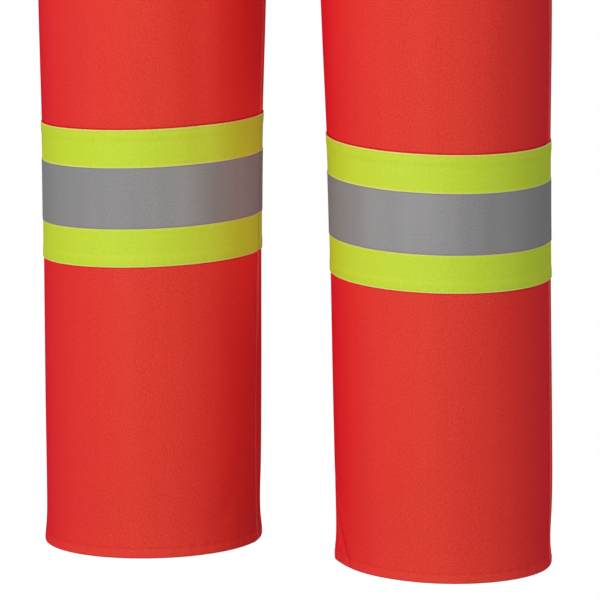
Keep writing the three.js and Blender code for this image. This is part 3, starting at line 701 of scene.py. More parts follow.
def ring_columns(leg, heights):
    """Distances all round a leg between the two sides of its inner seam, and how far the seams' allowances
    push out what lies over them."""
    front, back = (
        (inner_seam_at(heights, face) - seam_wander(leg, heights) * face)[:, None] for face in (-1, 1))
    at_outer = np.tile(OVER_ALLOWANCE, (len(heights), 1))
    at_inner = back - np.append(OVER_ALLOWANCE[:1:-1], TAPE_END_CLEAR)
    between = [np.linspace(0, 1, TAPE_COLUMNS)[1:-1] * (end - start) + start for start, end in (
        (TAPE_END_CLEAR - front, 0.0), (OVER_ALLOWANCE[-1], back - OVER_ALLOWANCE[-1]))]
    distance = np.concatenate([TAPE_END_CLEAR - front, between[0], at_outer, between[1], at_inner], axis=1)
    from_inner = np.where(distance > 0, back - distance, FAR_OFF)
    return distance, seam_swell(distance, from_inner)


def tape_ring(leg, name, slot, heights, lift, fold, thickness, material):
    """A tape once round a leg. Each row of heights has its lift, and how near it lies to an edge, where it
    wears and where a highlight is painted.
    """
    distance, swell = ring_columns(leg, heights)
    fold = np.broadcast_to(fold[:, None], distance.shape)
    tape = lay_cloth(leg, name, slot, material, thickness, heights, distance, lift[:, None] + swell,
                     fold, leg == "right")


def contrast_tape(leg):
    edge, edge_lift = turned_edge(0, TAPE_FOLD, TAPE_MARGIN)
    near = np.array([0.0008, 0.0012, 0.0016, 0.0020, 0.0028, 0.0045, 0.0064, 0.0075, 0.0082, 0.0089, 0.0096,
                     0.0108, 0.0130])
    from_edge = np.concatenate([edge, near])
    lift = np.concatenate([TAPE_OVER + edge_lift, tape_lift(near)])
    middle = np.linspace(0, 1, 26)[1:-1]
    across = from_edge[-1] + middle * (BAND_WIDTH - 2 * from_edge[-1])
    off_stripe = np.array([-0.0010, 0.0, 0.0005, 0.0010, 0.0015, 0.0022])
    at_stripe = [BAND_WIDTH / 2 + side * (STRIPE_WIDTH / 2 + off_stripe) for side in (-1, 1)]
    across = np.sort(np.concatenate([across, *at_stripe]))
    heights = BAND_MIDDLE - BAND_WIDTH / 2 + np.concatenate([from_edge, across, BAND_WIDTH - from_edge[::-1]])
    lift = np.concatenate([lift, tape_lift(across * 0 + 1), lift[::-1]])
    from_middle = np.abs(heights - BAND_MIDDLE)
    # the pale lines at the tape's folded edges and beside the stripe are painted highlights
    fold = sum(wear_and_highlight_mark["share"] * beside(from_middle - line, wear_and_highlight_mark["width"]) for line, wear_and_highlight_mark in (
        (BAND_WIDTH / 2, TAPE_EDGE_SELVEDGE_AND_HIGHLIGHT), (STRIPE_WIDTH / 2, STRIPE_EDGE_HIGHLIGHT)))
    tape_ring(leg, "contrast_band", "contrast_tape", heights, lift, fold,
              TAPE_THICKNESS, lime_tape)


# Its pale third colour is a painted highlight along its folded edges and beside the silver stripe.
lime_tape = cloth_material(
    "lime contrast tape", dark=(0.60, 0.79, 0.018), light=(0.67, 0.85, 0.060), wear_and_highlight=(0.97, 0.86, 0.30),
    painted_edge_shade=(0.62, 0.76, 0.025), roughness=0.62, specular=0.4, bump=0.00003,
    weave=(0.00032, 0.00064, 0.5, 0.0030, 0.045, 0.8))
lime_thread = thread_material("lime thread", (0.62, 0.70, 0.10))
on_tape = TAPE_OVER + TAPE_THICKNESS / 2 - TAPE_STITCH_SUNK
tape_lines = []
for leg in LEGS:
    contrast_tape(leg)
    for side in (-1, 1):
        tape_lines.append(line_round(leg, BAND_MIDDLE + side * (BAND_WIDTH / 2 - TAPE_STITCH), on_tape))
stitching("contrast_band_stitches", tape_lines, lime_thread)

# ---- Silver tape -------------------------------------------------------------------------------------------
# Reflective tape, 2 in wide: glass beads bonded to a fabric backing, its cut edges bare, laid along the
# middle of the contrast tape.
STRIPE_THICKNESS = 0.0003
STRIPE_CLEAR = 0.00012  # over the contrast tape
STRIPE_LIFT = TAPE_UNDER + TAPE_CLEAR + TAPE_THICKNESS / 2 + STRIPE_CLEAR + STRIPE_THICKNESS / 2
CUT_EDGE_WEAR = 0.0007


def silver_tape(leg):
    inset = np.array([0, 0.0004, 0.0009, 0.0016, 0.003])
    across = np.concatenate([inset, np.linspace(0.006, STRIPE_WIDTH - 0.006, 12), STRIPE_WIDTH - inset[::-1]])
    heights = BAND_MIDDLE - STRIPE_WIDTH / 2 + across
    fold = beside(STRIPE_WIDTH / 2 - np.abs(heights - BAND_MIDDLE), CUT_EDGE_WEAR)
    tape_ring(leg, "silver_stripe", "silver_tape", heights, np.full(len(heights), STRIPE_LIFT), fold,
              STRIPE_THICKNESS, beaded_silver)


beaded_silver = cloth_material(
    "beaded silver tape", dark=(0.280, 0.274, 0.276), light=(0.388, 0.382, 0.385), wear_and_highlight=(0.24, 0.23, 0.23),
    painted_edge_shade=(0.262, 0.257, 0.257), roughness=0.60, specular=0.4, bump=0.00001, metallic=0.15,
    weave=(0.00012, 0.00012, 0.5, 0.0016, 0.040, 1.3))
for leg in LEGS:
    silver_tape(leg)

# ---- Side plackets -----------------------------------------------------------------------------------------
# A strip of the same twill covers each side opening from the hip to the waist seam, its long edges and its
# foot folded under, and its long edges sewn down.
PLACKET_BOTTOM = 0.860
PLACKET_TURN = 0.06
PLACKET_MARGIN = 0.006
PLACKET_STITCH = 0.0022
PLACKET_STITCH_SUNK = 0.0001
PLACKET_GROOVE = 0.00016  # how far its stitched rows draw it in
PLACKET_CLEAR = 0.0003  # over the panels
PLACKET_UNDER = on_twill + PLACKET_CLEAR + TWILL_THICKNESS / 2
PLACKET_OVER = PLACKET_UNDER + 2 * SEAM_FOLD
on_placket = PLACKET_OVER + TWILL_THICKNESS / 2


def placket_edges(heights):
    """Distances round from the outer seam to the placket's front and back edges."""
    turns, lengths = lengths_round(heights)
    return [np.array([np.interp(turn, turns, row) for row in lengths])[:, None]
            for turn in (-PLACKET_TURN, PLACKET_TURN)]


def side_placket(leg):
    edge, edge_lift = turned_edge(0, SEAM_FOLD, PLACKET_MARGIN, (0.0012, 0.0022, 0.0032, 0.0050, 0.0075))
    above = np.append(np.arange(PLACKET_BOTTOM + 0.011, WAIST - 0.002, 0.004), WAIST - SEAM_CLEAR)
    heights = np.concatenate([PLACKET_BOTTOM + edge, above])
    row_lift = np.concatenate([edge_lift, np.zeros(len(above))])
    front, back = placket_edges(heights)
    inner = np.linspace(0, 1, 12)[1:-1]
    distance = np.concatenate([front + edge, front + edge[-1] + inner * (back - front - 2 * edge[-1]),
                               back - edge[::-1]], axis=1)
    column_lift = np.concatenate([edge_lift, np.zeros(len(inner)), edge_lift[::-1]])
    from_edge = np.minimum(distance - front, back - distance)
    stitched = PLACKET_GROOVE * beside(from_edge - PLACKET_STITCH, 0.0008)
    turned_under = np.maximum(row_lift[:, None] + column_lift, -2 * SEAM_FOLD)
    lift = PLACKET_OVER + turned_under - stitched + seam_swell(distance, FAR_OFF)
    placket = lay_cloth(leg, "placket_strip", "side_placket", twill, TWILL_THICKNESS, heights,
                        distance, lift, beside(from_edge, 0.001), leg == "right")


def placket_line(leg, side):
    """The stitched row beside the placket's front or back edge."""
    heights = np.linspace(PLACKET_BOTTOM + PLACKET_STITCH, WAIST - 0.002, 120)
    distance = placket_edges(heights)[0 if side < 0 else 1] - side * PLACKET_STITCH
    lift = on_placket - PLACKET_STITCH_SUNK + seam_swell(distance, FAR_OFF)
    points, normals = cloth(leg, heights[:, None], turn_at(heights, distance), lift)
    return points[:, 0], normals[:, 0]


for leg in LEGS:
    side_placket(leg)
placket_lines = [placket_line(leg, side) for leg in LEGS for side in (-1, 1)]
stitching("placket_stitches", placket_lines, red_thread)

# ---- Bib and back ------------------------------------------------------------------------------------------
# One piece of twill each, from the waist seam up. The arm scoops and the top are hemmed: turned under and
# sewn with two rows, and two more rows hold the waist seam's allowances up.
SIDE_RISE = 0.030
BIB = dict(part="front", node="bib_front", face=-1, top=1.325, top_half_width=0.122, scoop=0.140, power=2.4)
BACK = dict(part="back", node="back_bib", face=1, top=1.302, top_half_width=0.066, scoop=0.227, power=1.5)
SCOOP_HEM = 0.012
TOP_HEM = 0.022
HEM_ROWS = (0.0020, 0.0095)  # the stitched rows, in from an edge
RISE_ROWS = (0.0022, 0.0085)  # and from the rise seam
BIB_GROOVE = 0.00016  # how far a stitched row draws the twill in
BIB_GROOVE_WIDTH = 0.0009
FOLDED_SWELL = 0.00030  # how far a hem or an allowance behind the twill pushes it out
BIB_STITCH_PROUD = 0.00014
RISE_STITCH_PROUD = 0.00003
HALF_COLUMNS = 52
SCOOP_ROWS = 60
SCOOP_FOOT = WAIST + SIDE_RISE


def scoop_curve(shape, share):
    """A scoop's rows at shares of its height: their heights at the side edge and in the middle, and how far
    in the edge has come."""
    quarter, power = share * np.pi / 2, 2 / shape["power"]
    edge_height = SCOOP_FOOT + shape["scoop"] * (1 - np.cos(quarter) ** power)
    return edge_height, SCOOP_FOOT + shape["scoop"] * share, np.sin(quarter) ** power


def bib_rows(shape):
    """Each row's height at the side edge and in the middle, how far in the scoop has brought the edge, and
    its lift: the seam's fold, the straight side, the scoop, and the hem turned down inside along the top."""
    seam, seam_lift = turned_edge(SEAM_CLEAR, SEAM_FOLD, ALLOWANCE)
    hem, hem_lift = turned_edge(0, SEAM_FOLD, TOP_HEM, (0.0014, 0.0020, 0.0028))
    side = WAIST + np.append(seam, np.arange(0.0016, SIDE_RISE - 0.002, 0.004))
    curve, middle, scooped = scoop_curve(shape, np.linspace(0, 1, SCOOP_ROWS))
    kept = curve < shape["top"] - 0.003
    upright = np.arange(SCOOP_FOOT + shape["scoop"] + 0.003, shape["top"] - 0.003, 0.004)
    above = np.append(upright, shape["top"] - hem[::-1])
    edge_height = np.concatenate([side, curve[kept], above])
    middle_height = np.concatenate([side, middle[kept], above])
    narrowing = np.concatenate([np.zeros(len(side)), scooped[kept], np.ones(len(above))])
    lift = np.concatenate([seam_lift, np.zeros(len(edge_height) - len(seam) - len(hem)), hem_lift[::-1]])
    return edge_height, middle_height, narrowing, lift


def bib_places(shape, rows, distance):
    """Heights and turns on the left half at distances in along each row from its side edge, those distances,
    and how long each row is. distance is a row of them, or works them out from the rows' lengths."""
    edge_height, middle_height, narrowing = (values[:, None] for values in rows)
    turns = np.linspace(0, 1, 160) * shape["face"]
    across, _ = outline(edge_height, turns[None, :])
    side = across[:, :1]
    edge_x = side + (shape["top_half_width"] - side) * narrowing
    edge = np.stack([np.interp(-x, -known, np.abs(turns)) for x, known in zip(edge_x[:, 0], across)])[:, None]
    share = np.linspace(0, 1, 90)[None, :]

    def along(share):
        height = middle_height + (edge_height - middle_height) * (1 - share) ** 2
        return height, (edge + (1 - edge) * share) * shape["face"]

    height, turn = along(share)
    x, y = outline(height, turn)
    line = np.stack([x, y, height], axis=-1)
    steps = np.linalg.norm(np.diff(line, axis=1), axis=-1)
    lengths = np.concatenate([np.zeros((len(line), 1)), np.cumsum(steps, axis=1)], axis=1)
    whole = lengths[:, -1:]
    distance = distance(whole) if callable(distance) else np.tile(distance, (len(line), 1))
    wanted = np.stack([np.interp(d, known, share[0]) for d, known in zip(distance, lengths)])
    return *along(wanted), distance, whole


def bib_sheet(shape):
    *rows, row_lift = bib_rows(shape)
    near_edge = (0.0012, 0.0020, 0.0030, 0.0050, 0.0080, 0.0095, 0.0110, 0.0130, 0.0150)
    edge, edge_lift = turned_edge(SEAM_CLEAR, SEAM_FOLD, SCOOP_HEM, near_edge)
    inner = np.linspace(0, 1, HALF_COLUMNS)[1:]

    def columns(whole):
        return np.concatenate([np.tile(edge, (len(whole), 1)), edge[-1] + inner * (whole - edge[-1])], axis=1)

    height, turn, distance, whole = bib_places(shape, rows, columns)
    column_lift = np.append(edge_lift, np.zeros(len(inner)))
    scooped = smooth_step(rows[0][:, None], WAIST + 0.010, SCOOP_FOOT)
    from_top = shape["top"] - height
    hemmed = scooped * (1 - smooth_step(distance, SCOOP_HEM - 0.001, SCOOP_HEM + 0.002))
    hemmed = np.maximum(hemmed, 1 - smooth_step(from_top, TOP_HEM - 0.001, TOP_HEM + 0.002))
    held_up = 1 - smooth_step(height - WAIST, *SWELL_FALL)
    groove = sum(beside(distance - row, BIB_GROOVE_WIDTH) * scooped + beside(from_top - row, BIB_GROOVE_WIDTH)
                 for row in HEM_ROWS)
    lift = TWILL_LIFT + row_lift[:, None] + column_lift
    lift = lift + FOLDED_SWELL * np.maximum(hemmed, held_up) - BIB_GROOVE * groove
    from_edge = np.minimum(distance, np.maximum(from_top, 0))
    fold = beside(from_edge, 0.0012) + 0.5 * beside(height - WAIST, 0.0010)

    def both(left, right):
        return np.concatenate([left, right[:, -2::-1]], axis=1)

    from_middle = whole - distance
    uv = np.stack([both(from_middle, -from_middle) * -shape["face"], both(height, height)], axis=-1)
    sheet = sheet_object(
        f"{shape['part']}_bib_cloth", both(*(cloth(leg, height, turn, lift)[0] for leg in LEGS)), uv,
        np.clip(both(fold, fold), 0, 1), TWILL_THICKNESS, shape["face"] < 0)
    finish(sheet, twill, shape["node"])
    wide = float(whole.max()) * 2 + 2 * ALLOWANCE
    widths = 2 * whole[:, 0] + 2 * SCOOP_HEM
    shown = row_lift == 0
    area = float(np.sum(widths[shown] * np.gradient(rows[1][shown])))
    area = area + float(widths[-1]) * TOP_HEM + wide * ALLOWANCE


def columns_of(points, normals):
    """The columns of a grid as lines to stitch."""
    return [(points[:, k], normals[:, k]) for k in range(points.shape[1])]


def scoop_lines(shape, leg):
    """The stitched rows down an arm scoop, and on up the bib's straight sides."""
    rows = np.array(scoop_curve(shape, np.linspace(0.03, 1, 160)))
    if shape["face"] < 0:
        upright = np.linspace(SCOOP_FOOT + shape["scoop"], shape["top"] - 0.002, 60)[1:]
        rows = np.append(rows, [upright, upright, np.ones(len(upright))], axis=1)
    rows = rows[:, rows[0] < shape["top"] - 0.0015]
    height, turn, _, _ = bib_places(shape, rows, np.array(HEM_ROWS))
    return columns_of(*cloth(leg, height, turn, on_twill + BIB_STITCH_PROUD))


def level_lines(shape, heights):
    """Stitched rows right across the bib or the back at heights, from side edge to side edge."""
    lines = []
    for level in heights:
        rows = np.array([[level], [level], [float(level > SCOOP_FOOT)]])
        height, turn, _, _ = bib_places(
            shape, rows, lambda whole: SEAM_GAP + np.linspace(0, 1, 160) * (whole - SEAM_GAP))
        halves = [cloth(leg, height[0], turn[0], on_twill + BIB_STITCH_PROUD) for leg in LEGS]
        lines.append(tuple(np.concatenate([left, right[-2::-1]]) for left, right in zip(*halves)))
    return lines


for shape in (BIB, BACK):
    bib_sheet(shape)
    tops = [shape["top"] - row for row in (HEM_ROWS[0], TOP_HEM - 0.0025)]
    across = level_lines(shape, [WAIST + row for row in HEM_ROWS] + tops)
    scoops = [line for leg in LEGS for line in scoop_lines(shape, leg)]
    stitching(f"{shape['part']}_bib_stitches", across + scoops, red_thread)


def rise_lines(face):
    """Two rows beside the rise seam, on the wearer's left, where its allowances are pressed and sewn down."""
    heights = np.linspace(CROTCH + 0.004, WAIST - 0.003, 150)
    distance = (inner_seam_at(heights, face)[:, None] - np.array(RISE_ROWS)) * face
    lift = on_twill + RISE_STITCH_PROUD
    return columns_of(*cloth("left", heights[:, None], turn_at(heights, distance), lift))


stitching("rise_stitches", rise_lines(-1) + rise_lines(1), red_thread)

# ---- Braces ------------------------------------------------------------------------------------------------
# Each brace is a strip of twill folded into a flat tube and edge-stitched. It is sewn to the top of the back,
# goes over the shoulder, and loops round the buckle's top bar with its tail lying behind it.
BRACE_WIDTH = 0.038
BRACE_WALL = 0.002
BRACE_SEAT_LIFT = 0.0005
BRACE_BACK_END = dict(height=1.238, x=0.025)
BRACE_BACK_TOP = dict(height=1.298, x=0.044)
SHOULDER_X = 0.108
SHOULDER_SLOPE = 16
SHOULDER_RUN = np.array([-0.12, 1, 0]) / np.hypot(0.12, 1)
ARCH_ROUND = 0.56
ARCH_STEPS = 45
TAIL_SHARE = 2 / 9  # of the chest arch
CHEST_STRAIGHT = 0.022
BUTTON_SEAT = dict(height=1.299, x=0.092)
SEAT_LIFT = 0.0006  # the face of the wall that buckles and buttons stand on
BUCKLE_WALL = 0.0022
BUCKLE_LIFT = 0.0005
BUCKLE_BAR = 0.038  # from the button up to the edge of the bar that the brace loops round
LOOP_GAP = 0.0003
BRACE_STITCH = 0.003
BRACE_STITCH_SUNK = 0.0001
BRACE_GROOVE = 0.00022
BRACE_BOX_INSET = 0.005
BRACE_BOX = ((-1, 2), (1, 2), (1, 7), (-1, 7), (-1, 2))  # its corners: a side, and steps up from the end
END_PRESSED = (0.36, 0.8)  # how thick the tube still is at its ends, and one step in


def unit(vector):
    return vector / np.linalg.norm(vector, axis=-1, keepdims=True)


def seat_at(face, height, x):
    """A place on the left half's face: its point, and the directions across, up and out."""
    def on(level):
        turns = np.linspace(0, 1, 400) * face
        known, _ = outline(level, turns)
        return cloth("left", level, np.interp(-x, -known, np.abs(turns)) * face, SEAT_LIFT)

    point, normal = on(height)
    up = unit(on(height + 0.001)[0] - on(height - 0.001)[0])
    across = unit(np.cross(up, normal))
    return dict(point=point, across=across, up=np.cross(normal, across), out=normal)


def brace_line():
    """The left brace's middle line and the direction across it, from its sewn end to the end of its tail."""
    back = [seat_at(1, *(BRACE_BACK_END[key] + (BRACE_BACK_TOP[key] - BRACE_BACK_END[key]) * t
                         for key in ("height", "x"))) for t in np.linspace(0, 1, 9)]
    sewn = np.array([seat["point"] + seat["out"] * (BRACE_SEAT_LIFT + BRACE_WALL / 2) for seat in back])
    up_back = unit(sewn[-1] - sewn[-2])
    sewn_across = np.array([np.cross(seat["out"], up_back) for seat in back])

    seat = seat_at(-1, **BUTTON_SEAT)
    bar_middle = BUCKLE_LIFT + BUCKLE_WALL / 2
    loop_radius = BUCKLE_WALL / 2 + LOOP_GAP + BRACE_WALL / 2
    foot = seat["point"] + seat["up"] * BUCKLE_BAR + seat["out"] * (bar_middle + loop_radius)
    chest = foot + seat["up"] * CHEST_STRAIGHT
    slope = np.radians(SHOULDER_SLOPE)
    shoulder = np.array([SHOULDER_X, 0, BRACE_WALL / 2])
    shoulder_across = np.array([np.cos(slope), 0, -np.sin(slope)])

    def arch(point, up, level):
        """A curve that leaves a point upwards and comes over the shoulder level."""
        t = np.linspace(0, 1, ARCH_STEPS)[:, None]
        rising = point + up * (shoulder[2] - point[2]) * ARCH_ROUND
        arriving = shoulder + level * abs(point[1]) * ARCH_ROUND
        return ((1 - t) ** 3 * point + 3 * (1 - t) ** 2 * t * rising + 3 * (1 - t) * t**2 * arriving
                + t**3 * shoulder)

    back_arch = arch(sewn[-1], up_back, SHOULDER_RUN)
    chest_arch = arch(chest, seat["up"], -SHOULDER_RUN)[::-1]
    turned = smooth_step(np.linspace(0, 1, ARCH_STEPS), 0, 1)[:, None]
    back_across = unit(sewn_across[-1] + (shoulder_across - sewn_across[-1]) * turned)
    chest_across = unit(shoulder_across + (seat["across"] - shoulder_across) * turned)

    straight = chest + (foot - chest) * np.linspace(0, 1, 7)[:, None]
    angle = np.linspace(0, np.pi, 15)[:, None]
    loop = (seat["point"] + seat["up"] * (BUCKLE_BAR - loop_radius * np.sin(angle))
            + seat["out"] * (bar_middle + loop_radius * np.cos(angle)))
    level = np.tile(seat["across"], (len(straight) + len(loop) - 2, 1))
    beside_tail = slice(-round(ARCH_STEPS * TAIL_SHARE), -1)
    before_loop = np.concatenate([chest_arch[beside_tail], straight])[::-1]
    before_across = np.concatenate([chest_across[beside_tail], level[:len(straight)]])[::-1]
    rising = unit(np.gradient(before_loop, axis=0))
    tail = before_loop - 2 * loop_radius * unit(np.cross(before_across, rising))
    points = [sewn, back_arch[1:], chest_arch[1:], straight[1:], loop[1:], tail[1:]]
    across = [sewn_across, back_across[1:], chest_across[1:], level, before_across[1:]]
    return np.concatenate(points), np.concatenate(across)


def brace_axes():
    """The brace's middle line, and the directions across it and out of its face."""
    middle, across = brace_line()
    along = unit(np.gradient(middle, axis=0))
    level = unit(across - along * np.sum(across * along, axis=1, keepdims=True))
    return middle, level, np.cross(along, level)


def brace(leg):
    middle, level, out = brace_axes()
    ply = (BRACE_WALL - TWILL_THICKNESS) / 2  # from the middle of the tube to the middle of each ply
    half = BRACE_WIDTH / 2 - ply
    near_edge = np.array([0, 0.0012, 0.0022, 0.0030, 0.0038, 0.0052])
    side = np.concatenate([half - near_edge, np.linspace(half - 0.0080, 0, 6)])
    flat = np.concatenate([side, -side[-2::-1]])
    stitched = BRACE_GROOVE * beside(BRACE_WIDTH / 2 - np.abs(flat) - BRACE_STITCH, 0.0008)
    bend = np.linspace(0, np.pi, 7)[1:-1]
    across = np.concatenate([flat, -half - ply * np.sin(bend), flat[::-1], half + ply * np.sin(bend)])
    above = np.concatenate([ply - stitched, ply * np.cos(bend), -ply + stitched[::-1], -ply * np.cos(bend)])
    ends = np.ones(len(middle))
    ends[[0, -1]], ends[[1, -2]] = END_PRESSED
    points = (middle[:, None] + level[:, None] * across[None, :, None]
              + out[:, None] * above[None, :, None] * ends[:, None, None]) * MIRROR[leg]
    gone = np.concatenate([[0], np.cumsum(np.linalg.norm(np.diff(middle, axis=0), axis=1))])
    round_it = np.concatenate([[0], np.cumsum(np.hypot(np.diff(across), np.diff(above)))])
    round_it = np.append(round_it, round_it[-1] + np.hypot(across[0] - across[-1], above[0] - above[-1]))
    uv = np.stack(np.broadcast_arrays(round_it[None, :], gone[:, None]), axis=-1)
    fold = np.broadcast_to(beside(BRACE_WIDTH / 2 - np.abs(across), 0.0009), points.shape[:2])
    strap = sheet_object(f"brace_{leg}", points, uv, fold, TWILL_THICKNESS, leg == "right", tube=True)
    finish(strap, twill, f"strap_{leg}")


def brace_stitch_lines(leg):
    """Both faces' rows along both edges, and the box that holds the sewn end to the back."""
    middle, level, out = brace_axes()
    lift = BRACE_WALL / 2 - BRACE_STITCH_SUNK
    lines = []
    for edge in (-1, 1):
        for face in (-1, 1):
            line = middle + level * edge * (BRACE_WIDTH / 2 - BRACE_STITCH) + out * face * lift
            lines.append((line[2:-2] * MIRROR[leg], (out * face)[2:-2] * MIRROR[leg]))
    corners = [middle[k] + level[k] * edge * (BRACE_WIDTH / 2 - BRACE_BOX_INSET) + out[k] * lift
               for edge, k in BRACE_BOX]
    along = np.concatenate([np.linspace(a, b, 12) for a, b in zip(corners, corners[1:])])
    lines.append((along * MIRROR[leg], np.tile(out[4], (len(along), 1)) * MIRROR[leg]))
    return lines


for leg in LEGS:
    brace(leg)
stitching("brace_stitches", [line for leg in LEGS for line in brace_stitch_lines(leg)], red_thread)

# ---- Buckles -----------------------------------------------------------------------------------------------
# Each brace buckle is one plate of pressed steel: a keyhole that drops over the bib button, and a window
# whose top bar the brace loops round. Its edges are tumbled round.
BUCKLE_EDGE = 0.0006


def steel_material(name, colour, roughness, grain_scale):
    """Nickel-plated steel: fine drawn grain and a few duller patches."""
    material, tree, shader = new_material(name, Metallic=1.0)
    place = add_node(tree, "ShaderNodeTexCoord").outputs["Object"]
    drawn = add_node(tree, "ShaderNodeMapping", {"Vector": place, "Scale": grain_scale}).outputs[0]
    grain, patches = (
        add_node(tree, "ShaderNodeTexNoise", {"Vector": where, "Scale": scale, "Detail": detail}).outputs[0]
        for where, scale, detail in ((drawn, 900.0, 4.0), (place, 160.0, 2.0)))
    tree.links.new(patchy(tree, patches, colour, 0.82), shader.inputs["Base Color"])
    uneven = math_node(tree, "MULTIPLY_ADD", grain, 0.16, roughness - 0.08)
    tree.links.new(math_node(tree, "MULTIPLY_ADD", patches, 0.10, uneven), shader.inputs["Roughness"])
    scratched = add_node(tree, "ShaderNodeBump", {"Height": grain, "Strength": 0.5, "Distance": 0.00002})
    tree.links.new(scratched.outputs["Normal"], shader.inputs["Normal"])
    return material


nickel = steel_material("nickel-plated steel", (0.66, 0.65, 0.63), 0.26, (1.0, 1.0, 0.12))


def buckle(leg):
    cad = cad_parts[f"strap_buckle_{leg}"]
    pressed = bmesh.new()
    pressed.from_mesh(cad.data)
    bmesh.ops.remove_doubles(pressed, verts=pressed.verts, dist=1e-5)
    bmesh.ops.dissolve_limit(pressed, angle_limit=np.radians(1.0), verts=pressed.verts, edges=pressed.edges)
    mesh = bpy.data.meshes.new(f"brace_buckle_{leg}")
    pressed.to_mesh(mesh)
    pressed.free()
    mesh.shade_smooth()
    plate = add_object(mesh.name, mesh)
    edges = plate.modifiers.new("tumbled edges", "BEVEL")
    edges.width = BUCKLE_EDGE
    edges.segments = 3
    edges.limit_method = "ANGLE"
    edges.angle_limit = np.radians(50)
    edges.harden_normals = True
    finish(plate, nickel, cad.name)


for leg in LEGS:
    buckle(leg)

# ---- Tack buttons ------------------------------------------------------------------------------------------
# Steel tack buttons: one under each buckle on the bib, and two on each side placket. A tack driven through
# from behind holds each one, its crown rolled over at the rim and dished in the middle.
BUTTON_RADIUS = 0.0085
BUTTON_CROWN = 0.0035
SHANK_RADIUS = 0.0024
CROWN_DISH = 0.0006
CROWN_SWELL = 0.00055  # how far the crown bulges between its rim and its dish
RIM_SHARE = 0.34  # the rolled rim's radius over the crown's depth
DISH_RADIUS = 0.0028
BUTTON_SIDES = 48
SIDE_BUTTONS = dict(upper=1.000, lower=0.920)
BIB_SHANK_TOP = BUCKLE_LIFT + BUCKLE_WALL + 0.0004  # clear of the buckle's plate
BIB_SHANK_IN = 0.0001  # how far a shank's foot stands in the cloth it is driven through
SIDE_SHANK_TOP = 0.0016
SIDE_SHANK_IN = 0.0006
PLACKET_WALL = 0.0013  # placket and seam gap, from the seat's face up to where a side button's sizes begin


def button(leg, name, node, seat, shank_foot, shank_top):
    """Turned about its own axis: the shank, the underside, the rolled rim, and the crown with its dish."""
    crown = shank_top + BUTTON_CROWN
    roll = np.linspace(-np.pi / 2, np.pi * 0.62, 12)
    rim = BUTTON_CROWN * RIM_SHARE
    profile = [(0, shank_foot), (SHANK_RADIUS * 1.5, shank_foot), (SHANK_RADIUS * 1.35, shank_foot + 0.0003),
               (SHANK_RADIUS, shank_foot + 0.0005), (SHANK_RADIUS, shank_top)]
    profile += [(BUTTON_RADIUS - rim + rim * np.cos(a), shank_top + rim + rim * np.sin(a)) for a in roll]
    inner = np.linspace(BUTTON_RADIUS - 1.75 * rim, DISH_RADIUS, 5)
    profile += [(r, crown - rim * 0.62 + CROWN_SWELL * np.cos((r - DISH_RADIUS) / inner[0] * 1.7))
                for r in inner]
    dish = crown - CROWN_DISH
    profile += [(0.0025, crown - 0.00085), (0.0021, dish - 0.0008), (0, dish - 0.0009)]
    radius, level = np.array(profile).T
    angle = np.linspace(0, 2 * np.pi, BUTTON_SIDES, endpoint=False)[:, None]
    flat = np.stack(np.broadcast_arrays(radius * np.cos(angle), radius * np.sin(angle), level), axis=-1)
    points = (seat["point"] + flat[..., :1] * seat["across"] + flat[..., 1:2] * seat["up"]
              + flat[..., 2:] * seat["out"]) * MIRROR[leg]
    count = len(radius)
    sides = [(i * count, (i + 1) % BUTTON_SIDES * count) for i in range(BUTTON_SIDES)]
    quads = [(this + j, after + j, after + j + 1, this + j + 1)
             for this, after in sides for j in range(count - 1)]
    mesh = bpy.data.meshes.new(f"{name}_{leg}")
    mesh.from_pydata(points.reshape(-1, 3).tolist(), [], quads)
    turned = bmesh.new()
    turned.from_mesh(mesh)
    bmesh.ops.remove_doubles(turned, verts=turned.verts, dist=1e-6)
    bmesh.ops.recalc_face_normals(turned, faces=turned.faces)
    turned.to_mesh(mesh)
    turned.free()
    mesh.shade_smooth()
    finish(add_object(mesh.name, mesh), nickel, f"{node}_{leg}")


for leg in LEGS:
    button(leg, "bib_tack", "bib_button", seat_at(-1, **BUTTON_SEAT), -BIB_SHANK_IN, BIB_SHANK_TOP)
    for place, height in SIDE_BUTTONS.items():
        seat = seat_at(1, height, float(outline(np.array([height]), np.array([0.0]))[0][0]))
        seat["point"] = seat["point"] + seat["out"] * PLACKET_WALL
        button(leg, f"side_tack_{place}", f"side_button_{place}", seat, -SIDE_SHANK_IN, SIDE_SHANK_TOP)

# ---- Floor, light and camera -------------------------------------------------------------------------------
# A plain pale floor and a white surround, one large soft light from the front on the wearer's right, a weak
# one from the other side, one behind, and a small warm one between the knees. The camera looks at the lower
# legs, a little from the wearer's left.
FLOOR_DROP = 0.060
FLOOR_HALF = 30.0
LOOK_AT = np.array([0.006, 0.0, 0.210 - SHOULDER_TO_HEM])
CAMERA_AZIMUTH = 15.7
CAMERA_DISTANCE = 4.87
CAMERA_HEIGHT = 1.07  # over the hems
CAMERA_ROLL = -0.2
LENS = 348.0
LAMPS = (  # name, azimuth, elevation, distance, size and power
    ("key", -14, 22, 3.2, 1.9, 45.8),
    ("fill", 65, 10, 3.5, 1.6, 7),
    ("behind", 172, 30, 3.5, 2.2, 18),
)
SURROUND_BRIGHT = 0.64  # the surround's light from its bright side, and from the other
SURROUND_DIM = 0.36
BRIGHT_SIDE = -80  # azimuth, on the wearer's right
# The light between the knees stands in for the glow that one fluorescent leg gives the other.
GLOW_PLACE = np.array([0.025, -0.015, BAND_MIDDLE - SHOULDER_TO_HEM])
GLOW_SIZE = (0.05, 0.16)
GLOW_POWER = 0.017
GLOW_COLOUR = (1.0, 0.44, 0.52)
GLOW_AIM = np.array([-0.1, 0, 0])


def direction(azimuth, elevation):
    """Azimuth 0 is straight in front, and grows towards the wearer's left."""
    a, e = np.radians([azimuth, elevation])
    return np.array([np.sin(a) * np.cos(e), -np.cos(a) * np.cos(e), np.sin(e)])


